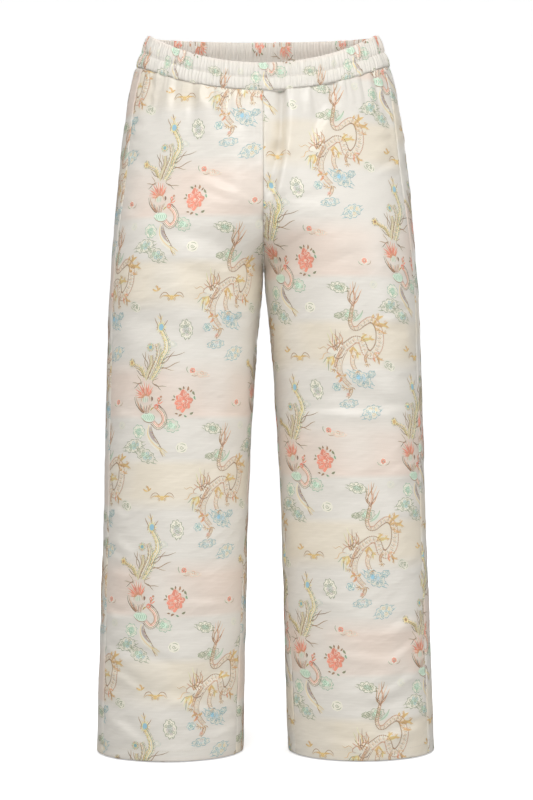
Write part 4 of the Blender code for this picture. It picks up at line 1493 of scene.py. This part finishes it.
def strips_of_mark(mark, order, longest, widest):
    """A mark as strips between neighbouring rows of points, in millimetres."""
    layer, path, widths, colour = mark
    rise = THREAD_RISE + LAYER_RISE * layer
    shade = linear(COLOURS[colour]) * (1.0 + DYE_UNEVEN * math.sin(17.0 * order))
    path, widths = refined(path, widths, longest)
    if widths is None:
        ring = np.vstack([path, path[:1]])
        turn = np.sum(ring[:-1, 0] * ring[1:, 1] - ring[1:, 0] * ring[:-1, 1])
        ring = ring if turn > 0 else ring[::-1]
        middle = path.mean(axis=0)
        reach = np.linalg.norm(path - middle, axis=1).max()
        count = max(1, int(math.ceil(reach / widest)))
        rows = [middle + (ring - middle) * (1 - k / count) for k in range(count + 1)]
    else:
        ahead, side = beside(path)
        count = max(1, int(math.ceil(widths.max() / widest)))
        rows = [path - side * (widths * (0.5 - k / count))[:, None] for k in range(count + 1)]
    return [Strip(upper, lower, rise, rise, shade) for upper, lower in zip(rows, rows[1:])]


def repeat_strips(longest, widest):
    """The whole repeat as strips. Smaller steps follow the gathers of the waistband."""
    strips = []
    for order, mark in enumerate(marks):
        strips += strips_of_mark(mark, order, longest, widest)
    return strips


leg_strips = repeat_strips(longest=3.8, widest=5.6)
band_strips = repeat_strips(longest=2.2, widest=2.6)
print(sum(2 * len(strip.upper) for strip in leg_strips), "triangles in one repeat on the legs")

# %% Figures that reach a panel
def figures_for(cloth, strips):
    """The repeat's strips, in metres, wherever they touch the panel."""
    peony = np.array(PEONY_AT[cloth.name])
    low, high = cloth.flat.min(axis=0), cloth.flat.max(axis=0)
    repeat = np.array([REPEAT_WIDE, REPEAT_TALL])
    first = np.floor((low - peony) / repeat).astype(int) - 1
    last = np.ceil((high - peony) / repeat).astype(int) + 1
    found = []
    for across in range(first[0], last[0] + 1):
        for down in range(first[1], last[1] + 1):
            shift = peony + repeat * (across, down)
            for strip in strips:
                upper = strip.upper * MM + shift
                lower = strip.lower * MM + shift
                if (upper.max(axis=0) < low).any() or (upper.min(axis=0) > high).any():
                    continue
                found.append(strip._replace(upper=upper, lower=lower))
    return found


print(len(figures_for(cloths[0], leg_strips)), "strips of thread reach", cloths[0].name)

# %% Threads laid on a panel
OFF_CLOTH = 1e-5  # a place farther than this from the flat cloth is past its edge
SAME_PLACE = 1e-7  # points closer than this are one point


def nearest_on_cloth(cloth, places):
    """For each flat place: the nearest one on the flat cloth, the triangle that it lies in, and
    whether the place is past the cloth's edge."""
    tree = BVHTree.FromPolygons([(u, v, 0.0) for u, v in cloth.flat.tolist()],
                                cloth.faces.tolist(), all_triangles=True)
    flat = np.zeros((len(places), 2))
    hit = np.zeros(len(places), int)
    outside = np.zeros(len(places), bool)
    for k, (u, v) in enumerate(places.tolist()):
        found, normal, index, distance = tree.find_nearest((u, v, 0.0))
        flat[k] = found[0], found[1]
        hit[k] = index
        outside[k] = distance > OFF_CLOTH
    return flat, hit, outside


def worn_places(cloth, flat, hit, rises):
    """The same places on the worn cloth, each raised off it by its own height."""
    corners = cloth.faces[hit]
    a, b, c = (cloth.flat[corners[:, k]] for k in range(3))
    area = doubled_area(a, b, c)
    to_b = doubled_area(a, flat, c) / area
    to_c = doubled_area(a, b, flat) / area
    weights = np.clip(np.stack([1 - to_b - to_c, to_b, to_c], axis=1), 0.0, 1.0)
    points = np.einsum("nk,nkd->nd", weights, cloth.points[corners])
    normals = np.einsum("nk,nkd->nd", weights, cloth.normals[corners])
    normals /= np.linalg.norm(normals, axis=1, keepdims=True)
    return points + normals * rises[:, None]


def colour_and_cut(mesh, colours, gone):
    """Gives a long grid the colours of its threads and deletes the quads that are between them."""
    shaper = bmesh.new()
    shaper.from_mesh(mesh)
    paint = shaper.verts.layers.float_color.new("thread")
    for vertex, colour in zip(shaper.verts, colours.tolist()):
        vertex[paint] = (*colour, 1.0)
    shaper.faces.ensure_lookup_table()
    between = [shaper.faces[k] for k in np.nonzero(gone)[0]]
    bmesh.ops.delete(shaper, geom=between, context="FACES")
    bmesh.ops.remove_doubles(shaper, verts=shaper.verts, dist=SAME_PLACE)
    bmesh.ops.dissolve_degenerate(shaper, edges=shaper.edges, dist=SAME_PLACE)
    shaper.to_mesh(mesh)
    shaper.free()
    mesh.shade_smooth()


def lay_on_cloth(name, cloth, strips, material):
    """One mesh of all the strips, laid on the worn cloth and cut off at its edges."""
    counts = np.array([len(strip.upper) for strip in strips])
    total = int(counts.sum())
    places = np.concatenate([strip.lower for strip in strips] + [strip.upper for strip in strips])
    rises = ([strip.lower_rise for strip in strips] + [strip.upper_rise for strip in strips])
    rises = np.repeat(rises, np.tile(counts, 2))
    colours = np.tile(np.repeat([strip.colour for strip in strips], counts, axis=0), (2, 1))
    flat, hit, outside = nearest_on_cloth(cloth, places)
    piece = grid_sheet(name, total - 1, 1, flip=False)
    lay_points(piece, worn_places(cloth, flat, hit, rises))

    past_end = np.zeros(total, bool)
    past_end[np.cumsum(counts)[:-1] - 1] = True
    lost = outside[:total] & outside[total:]
    colour_and_cut(piece.data, colours, past_end[:-1] | (lost[:-1] & lost[1:]))
    piece.data.materials.append(material)
    return piece


print("finest gap between two points:", SAME_PLACE / MM, "mm")

# %% [markdown]
# ## Sewing
# One row of stitches runs round each hem, a finger's width above its edge, and one round the
# waistband between its two channels. They could be capsules in a row. They are threads too, so
# each is a small strip with a raised middle here, laid on the cloth in the same way.

# %% Stitches
STITCH_PITCH = 0.0034
STITCH_LONG = 0.0024
STITCH_WIDE = 0.0006
STITCH_RISE = 0.00035
STITCH_SLANT = 0.00010
STITCH_NEAR = 0.004  # how near to a row of stitches the width of the cloth is read
STITCH_SHAPE = (0.25, 1.0, 1.0, 0.25)  # breadth along a stitch, as shares of its full breadth
STITCH_COLOUR = (214, 206, 192)


def stitch_row(cloth, height, pitch):
    """Strips for a row of stitches across a panel, at one height of its flat form."""
    near = np.abs(cloth.flat[:, 1] - height) < STITCH_NEAR
    left, right = cloth.flat[near, 0].min() + pitch, cloth.flat[near, 0].max() - pitch
    strips = []
    for order, start in enumerate(np.arange(left, right, pitch)):
        end = start + pitch * STITCH_LONG / STITCH_PITCH
        slant = STITCH_SLANT * math.sin(2.3 * order)
        spine = np.array([(start, height - slant), (start * 0.7 + end * 0.3, height),
                          (start * 0.3 + end * 0.7, height), (end, height + slant)])
        half = np.array(STITCH_SHAPE)[:, None] * np.array([[0.0, STITCH_WIDE / 2]])
        shade = linear(STITCH_COLOUR)
        strips.append(Strip(spine - half, spine, 0.0, STITCH_RISE, shade))
        strips.append(Strip(spine, spine + half, STITCH_RISE, 0.0, shade))
    return strips


print("a stitch every", STITCH_PITCH / MM, "mm at the hems")

# %% [markdown]
# ## Satin and thread
# Satin is a smooth weave of long floats, so it has a broad soft gloss with fine streaks along the
# weft, and it creases in small crinkles. The ground of this one is shaded in wide soft bands,
# pink at the peonies, cream at the dragons and silver between them. All of it could be painted
# as images, but noise in node groups stays sharp from near. One group gives the weave's height,
# streaks and crinkles, one the colour of the bands, and legs and waistband share them. The
# threads take their colour from an attribute.

# %% Node groups
def new_group(name, inputs, outputs):
    """A shader node group with typed inputs, each with its default, and typed outputs."""
    group = bpy.data.node_groups.new(name, "ShaderNodeTree")
    for label, kind, value in inputs:
        socket = group.interface.new_socket(name=label, in_out="INPUT", socket_type=kind)
        if value is not None:
            socket.default_value = value
    for label, kind in outputs:
        group.interface.new_socket(name=label, in_out="OUTPUT", socket_type=kind)
    return group, group.nodes.new("NodeGroupInput"), group.nodes.new("NodeGroupOutput")


def maths(tree, operation, first, second):
    """A Math node. Each side is a number or the socket that feeds it."""
    node = tree.nodes.new("ShaderNodeMath")
    node.operation = operation
    for socket, value in zip(node.inputs, (first, second)):
        if isinstance(value, bpy.types.NodeSocket):
            tree.links.new(value, socket)
        else:
            socket.default_value = value
    return node.outputs[0]


def noise(tree, vector, stretch, scale, detail=2.0, roughness=0.5, turn=0.0):
    """Noise over a vector that is turned and then stretched."""
    mapping = tree.nodes.new("ShaderNodeMapping")
    mapping.vector_type = "TEXTURE"
    mapping.inputs["Rotation"].default_value[2] = turn
    mapping.inputs["Scale"].default_value = [1.0 / value for value in stretch]
    tree.links.new(vector, mapping.inputs["Vector"])
    texture = tree.nodes.new("ShaderNodeTexNoise")
    texture.inputs["Scale"].default_value = scale
    texture.inputs["Detail"].default_value = detail
    texture.inputs["Roughness"].default_value = roughness
    tree.links.new(mapping.outputs["Vector"], texture.inputs["Vector"])
    return texture.outputs["Fac"]


WEFT_CRINKLES = (16.0, 95.0, 1.0)  # changes of each pattern in a metre, across and down
SLANT_CRINKLES = (22.0, 70.0, 1.0)
CRINKLE_SLANT = math.radians(28)
WEFT_SHARE = 0.6
STREAKS = (60.0, 1400.0, 1.0)
FLOATS = (420.0, 2600.0, 1.0)


def weave_group():
    """The satin's weave: its height, the streaks along the weft, and crinkles in the cloth."""
    group, given, result = new_group(
        "satin weave", [("Vector", "NodeSocketVector", None)],
        [(label, "NodeSocketFloat") for label in ("Height", "Streaks", "Crinkle")])
    vector = given.outputs["Vector"]
    weft_wise = noise(group, vector, WEFT_CRINKLES, 1.0, 2.0, 0.55)
    slanting = noise(group, vector, SLANT_CRINKLES, 1.0, 1.0, 0.5, CRINKLE_SLANT)
    crinkle = maths(group, "ADD", maths(group, "MULTIPLY", weft_wise, WEFT_SHARE), slanting)
    group.links.new(crinkle, result.inputs["Crinkle"])
    streaks = noise(group, vector, STREAKS, 1.0, 3.0, 0.6)
    floats = noise(group, vector, FLOATS, 1.0, 1.0)
    group.links.new(streaks, result.inputs["Streaks"])
    group.links.new(maths(group, "ADD", streaks, floats), result.inputs["Height"])
    return group


WEAVE = weave_group()
print("node group:", WEAVE.name)

# %% Colour of the ground
SILVER = (227, 222, 213)
PINK = (230, 214, 201)
CREAM = (231, 221, 203)
BAND_STOPS = (  # from one row of peonies to the next, and the colour there
    (0.000, PINK), (0.070, PINK), (0.095, SILVER), (0.285, SILVER), (0.325, CREAM),
    (0.480, CREAM), (0.560, SILVER), (0.780, SILVER), (0.880, PINK), (1.000, PINK),
)
PATCHES = (9.0, 5.0, 1.0)  # the bands come and go this often in a metre
PATCH_START, PATCH_GROWTH = 0.22, 3.0  # noise at which they start to show, and how fast


def bands_group():
    """Colour of the ground: where a point is between one row of peonies and the next."""
    group, given, result = new_group(
        "shaded bands", [("Vector", "NodeSocketVector", None), ("Strength", "NodeSocketFloat", 1.0)],
        [("Color", "NodeSocketColor")])
    apart = group.nodes.new("ShaderNodeSeparateXYZ")
    group.links.new(given.outputs["Vector"], apart.inputs["Vector"])
    place = maths(group, "MULTIPLY", apart.outputs["Y"], -1.0 / REPEAT_TALL)
    ramp = group.nodes.new("ShaderNodeValToRGB")
    while len(ramp.color_ramp.elements) < len(BAND_STOPS):
        ramp.color_ramp.elements.new(1.0)
    for element, (position, colour) in zip(ramp.color_ramp.elements, BAND_STOPS):
        element.position = position
        element.color = (*linear(colour), 1.0)
    group.links.new(maths(group, "FRACT", place, 0.0), ramp.inputs["Fac"])
    patchy = noise(group, given.outputs["Vector"], PATCHES, 1.0, 1.0)
    above_start = maths(group, "SUBTRACT", patchy, PATCH_START)
    fading = maths(group, "MINIMUM", maths(group, "MULTIPLY", above_start, PATCH_GROWTH), 1.0)
    strength = maths(group, "MULTIPLY", given.outputs["Strength"], fading)
    mix = group.nodes.new("ShaderNodeMix")
    mix.data_type = "RGBA"
    mix.inputs["A"].default_value = (*linear(SILVER), 1.0)
    group.links.new(ramp.outputs["Color"], mix.inputs["B"])
    group.links.new(maths(group, "MAXIMUM", strength, 0.0), mix.inputs["Factor"])
    group.links.new(mix.outputs["Result"], result.inputs["Color"])
    return group


BANDS = bands_group()
print("node group:", BANDS.name, "with", len(BAND_STOPS), "stops")

# %% Parts of a material
WEFT_AND_SHEEN_TINT = 0.10  # how much the streaks lighten and darken the satin's colour: uneven weft, and painted sheen
FLOAT_TINT = 0.22  # and the floats of a thread its silk
GLOSS_SPREAD = 0.18  # between the glossiest and the dullest streak
WEAVE_RELIEF = 0.00006
THREAD_RELIEF = 0.0001


def new_material(name):
    """A material, its nodes and its Principled BSDF."""
    material = bpy.data.materials.new(name)
    material.use_nodes = True
    return material, material.node_tree, material.node_tree.nodes["Principled BSDF"]


def place_group(tree, group, vector):
    """One of the shared node groups, fed with the cloth's coordinates."""
    node = tree.nodes.new("ShaderNodeGroup")
    node.node_tree = group
    tree.links.new(vector, node.inputs["Vector"])
    return node


def uv_of(tree):
    """The flat coordinates of the cloth, in metres from a peony."""
    node = tree.nodes.new("ShaderNodeUVMap")
    node.uv_map = "cloth"
    return node.outputs["UV"]


def bump(tree, height, depth, strength):
    """A normal that follows a height. The depth is in metres."""
    node = tree.nodes.new("ShaderNodeBump")
    node.inputs["Distance"].default_value = depth
    node.inputs["Strength"].default_value = strength
    tree.links.new(height, node.inputs["Height"])
    return node.outputs["Normal"]


def tinted(tree, colour, factor, amount):
    """The colour made a little lighter or darker where the factor is above or below a half."""
    shade = maths(tree, "ADD", maths(tree, "MULTIPLY", factor, amount), 1.0 - amount / 2)
    node = tree.nodes.new("ShaderNodeMix")
    node.data_type = "RGBA"
    node.blend_type = "MULTIPLY"
    node.inputs["Factor"].default_value = 1.0
    tree.links.new(colour, node.inputs["A"])
    tree.links.new(shade, node.inputs["B"])
    return node.outputs["Result"]


print("streaks change the satin's roughness by", GLOSS_SPREAD)

# %% Satin and silk
def satin(name, roughness, crinkle, shading):
    """Satin with its bands of colour. The gloss, crinkles and shading differ from piece to piece."""
    material, tree, finish = new_material(name)
    vector = uv_of(tree)
    weave = place_group(tree, WEAVE, vector)
    bands = place_group(tree, BANDS, vector)
    bands.inputs["Strength"].default_value = shading
    # The streaks tint the ground a little lighter and darker: partly the weft's own uneven tone,
    # partly painted sheen along it.
    colour = tinted(tree, bands.outputs["Color"], weave.outputs["Streaks"], WEFT_AND_SHEEN_TINT)
    tree.links.new(colour, finish.inputs["Base Color"])
    gloss = maths(tree, "MULTIPLY", weave.outputs["Streaks"], GLOSS_SPREAD)
    gloss = maths(tree, "ADD", gloss, roughness - GLOSS_SPREAD / 2)
    tree.links.new(gloss, finish.inputs["Roughness"])
    finish.inputs["Sheen Weight"].default_value = 0.15
    finish.inputs["Sheen Roughness"].default_value = 0.4
    finish.inputs["Specular IOR Level"].default_value = 0.6
    crinkled = bump(tree, weave.outputs["Crinkle"], crinkle, 0.6)
    woven = bump(tree, weave.outputs["Height"], WEAVE_RELIEF, 0.5)
    tree.links.new(crinkled, woven.node.inputs["Normal"])
    tree.links.new(woven, finish.inputs["Normal"])
    return material


def silk_thread(name):
    """Silk in the colour of each thread, with fine floats along it."""
    material, tree, finish = new_material(name)
    colour = tree.nodes.new("ShaderNodeAttribute")
    colour.attribute_name = "thread"
    place = tree.nodes.new("ShaderNodeTexCoord").outputs["Object"]
    floats = noise(tree, place, (1.0, 1.0, 3.0), 900.0, 1.0)
    silk = tinted(tree, colour.outputs["Color"], floats, FLOAT_TINT)
    tree.links.new(silk, finish.inputs["Base Color"])
    finish.inputs["Roughness"].default_value = 0.5
    finish.inputs["Sheen Weight"].default_value = 0.1
    tree.links.new(bump(tree, floats, THREAD_RELIEF, 0.5), finish.inputs["Normal"])
    return material


BROCADE = satin("brocade satin", roughness=0.42, crinkle=0.0021, shading=1.15)
CASING_SATIN = satin("gathered satin", roughness=0.44, crinkle=0.0006, shading=0.35)
THREAD = silk_thread("silk thread")
print("finishes:", BROCADE.name, CASING_SATIN.name, THREAD.name)

# %% [markdown]
# ## Dressing the solids
# Each sheet gets its thickness from a Solidify modifier, which keeps the mesh itself a plain
# grid, and stands for the solid of the same name. Its threads and stitches are pieces of their
# own that go with it, because their finish is another one.

# %% Dress every panel
SATIN_THICK = 0.0007
CASING_THICK = 0.0005
HEM_STITCHES_AT = OUTSEAM - HEM_DEPTH + 0.0015  # just below the top of the turned-up cloth
BAND_PITCH_SHARE = 0.8  # the waistband's stitches are shorter than the hems'

for cloth in cloths:
    is_band = cloth.name.startswith("waistband")
    cloth.piece.name = cloth.name + "_cloth"
    cloth.piece.data.materials.append(CASING_SATIN if is_band else BROCADE)
    wall = cloth.piece.modifiers.new("thickness", "SOLIDIFY")
    wall.thickness = CASING_THICK if is_band else SATIN_THICK
    wall.offset = -1.0

    strips = figures_for(cloth, band_strips if is_band else leg_strips)
    figures = lay_on_cloth(cloth.name + "_figures", cloth, strips, THREAD)
    if is_band:
        row = stitch_row(cloth, STITCH_SHARE * BAND_SIDE, STITCH_PITCH * BAND_PITCH_SHARE)
    else:
        row = stitch_row(cloth, HEM_STITCHES_AT, STITCH_PITCH)
    stitches = lay_on_cloth(cloth.name + "_stitches", cloth, row, THREAD)

    for piece in (cloth.piece, figures, stitches):
        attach(piece, "root")
    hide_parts(cloth.name)

# %% [markdown]
# ## Studio
# The photograph is a cut-out on white with a faint shadow under the hems. A flat floor would
# end in a horizon, so a wide shallow bowl makes one with no visible edge from any side. Large
# soft lamps stand round it, because satin shows the edges of small ones.

# %% The bowl's material
FLOOR_DROP = OUTSEAM + 0.0015
BOWL_FLAT = 3.2  # radius of its flat middle
BOWL_RADIUS = 5.5
BOWL_HIGH = 4.0
BOWL_SIDES = 96
BOWL_STEPS = 12  # rings from the flat middle up to the rim
BOWL_GLOW = 0.66
SHADOW_REACH = 0.9  # the floor glows less near the hems, so that their shadow shows
SHADOW_DEPTH = 0.22
BOWL_BOUNCE = 0.36  # how pale the bowl is to the light that falls on it


def studio_white():
    """White to the eye, but a paler grey to the light that it throws back on the cloth."""
    material, tree, finish = new_material("studio white")
    finish.inputs["Base Color"].default_value = (0.80, 0.80, 0.80, 1.0)
    finish.inputs["Roughness"].default_value = 1.0
    finish.inputs["Specular IOR Level"].default_value = 0.0
    finish.inputs["Emission Color"].default_value = (1.0, 1.0, 1.0, 1.0)
    place = tree.nodes.new("ShaderNodeTexCoord")
    mapping = tree.nodes.new("ShaderNodeMapping")
    mapping.inputs["Scale"].default_value = [1.0 / SHADOW_REACH] * 3
    mapping.inputs["Location"].default_value[2] = FLOOR_DROP / SHADOW_REACH
    near = tree.nodes.new("ShaderNodeTexGradient")
    near.gradient_type = "SPHERICAL"
    tree.links.new(place.outputs["Object"], mapping.inputs["Vector"])
    tree.links.new(mapping.outputs["Vector"], near.inputs["Vector"])
    dimmer = maths(tree, "MULTIPLY", near.outputs["Fac"], SHADOW_DEPTH)
    glow = maths(tree, "SUBTRACT", BOWL_GLOW, dimmer)
    tree.links.new(glow, finish.inputs["Emission Strength"])
    soft = tree.nodes.new("ShaderNodeBsdfDiffuse")
    soft.inputs["Color"].default_value = (BOWL_BOUNCE, BOWL_BOUNCE, BOWL_BOUNCE * 0.98, 1.0)
    path = tree.nodes.new("ShaderNodeLightPath")
    either = tree.nodes.new("ShaderNodeMixShader")
    tree.links.new(path.outputs["Is Camera Ray"], either.inputs["Fac"])
    tree.links.new(soft.outputs["BSDF"], either.inputs[1])
    tree.links.new(finish.outputs["BSDF"], either.inputs[2])
    tree.links.new(either.outputs["Shader"], tree.nodes["Material Output"].inputs["Surface"])
    return material


STUDIO_WHITE = studio_white()
print("finish:", STUDIO_WHITE.name)

# %% Bowl and lamps
def backdrop():
    """The bowl: a disc whose rim is drawn out and up in rings."""
    shaper = bmesh.new()
    bmesh.ops.create_circle(shaper, segments=BOWL_SIDES, radius=BOWL_FLAT, cap_ends=True)
    rim = [edge for edge in shaper.edges if edge.is_boundary]
    for k in range(1, BOWL_STEPS + 1):
        bend = math.radians(90) * k / BOWL_STEPS
        grown = bmesh.ops.extrude_edge_only(shaper, edges=rim)["geom"]
        verts = [item for item in grown if isinstance(item, bmesh.types.BMVert)]
        edges = [item for item in grown if isinstance(item, bmesh.types.BMEdge)]
        rim = [edge for edge in edges if edge.is_boundary]
        radius = BOWL_FLAT + (BOWL_RADIUS - BOWL_FLAT) * math.sin(bend)
        for vert in verts:
            vert.co.xy = vert.co.xy.normalized() * radius
            vert.co.z = BOWL_HIGH * (1 - math.cos(bend))
    bmesh.ops.recalc_face_normals(shaper, faces=shaper.faces)
    mesh = bpy.data.meshes.new("floor")
    shaper.to_mesh(mesh)
    shaper.free()
    mesh.transform(Matrix.Translation((0.0, 0.0, -FLOOR_DROP)))
    mesh.shade_smooth()
    floor = add_object("floor", mesh)
    mesh.materials.append(STUDIO_WHITE)


Lamp = namedtuple("Lamp", "name place aim_drop size watts")
LAMPS = (  # each one aims at the middle of the trousers, this far below the waist
    Lamp("front", (-0.25, -2.7, 1.3), 0.75, (1.2, 1.0), 45),
    Lamp("low front", (0.2, -3.2, -0.8), 0.75, (2.4, 1.2), 22),
    Lamp("left", (-2.4, -1.1, 0.2), 0.5, (1.4, 2.0), 14),
    Lamp("right", (2.2, -1.7, -0.1), 0.6, (1.2, 2.0), 22),
    Lamp("above", (0.0, -0.2, 2.2), 0.6, (2.0, 2.0), 20),
    Lamp("behind", (0.4, 3.0, 0.5), 0.5, (2.2, 2.0), 44),
)
WORLD_GLOW = 0.42


def hang(lamp):
    """An area light that faces the trousers and isn't seen itself."""
    data = bpy.data.lights.new(lamp.name, "AREA")
    data.shape = "RECTANGLE"
    data.size, data.size_y = lamp.size
    data.energy = lamp.watts
    light = add_object(lamp.name, data)
    light.location = lamp.place
    facing_to = Vector((0.0, 0.0, -lamp.aim_drop)) - Vector(lamp.place)
    light.rotation_euler = facing_to.to_track_quat("-Z", "Y").to_euler()
    light.visible_camera = False


backdrop()
for lamp in LAMPS:
    hang(lamp)

world = bpy.data.worlds.new("studio")
world.use_nodes = True
sky = world.node_tree.nodes["Background"]
sky.inputs["Color"].default_value = (1.0, 1.0, 1.0, 1.0)
sky.inputs["Strength"].default_value = WORLD_GLOW
bpy.context.scene.world = world
bpy.context.scene.view_settings.view_transform = "Standard"
print(len(LAMPS), "lamps,", sum(lamp.watts for lamp in LAMPS), "watts in all")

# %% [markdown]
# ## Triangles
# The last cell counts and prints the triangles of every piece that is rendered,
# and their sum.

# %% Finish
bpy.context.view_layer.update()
seen = bpy.context.evaluated_depsgraph_get()
total = 0
for piece in bpy.context.scene.objects:
    if piece.type == "MESH" and not piece.hide_render:
        mesh = piece.evaluated_get(seen).to_mesh()
        total += len(mesh.loop_triangles)
        print(piece.name, len(mesh.loop_triangles), "triangles")
        piece.evaluated_get(seen).to_mesh_clear()
print(total, "triangles in all")
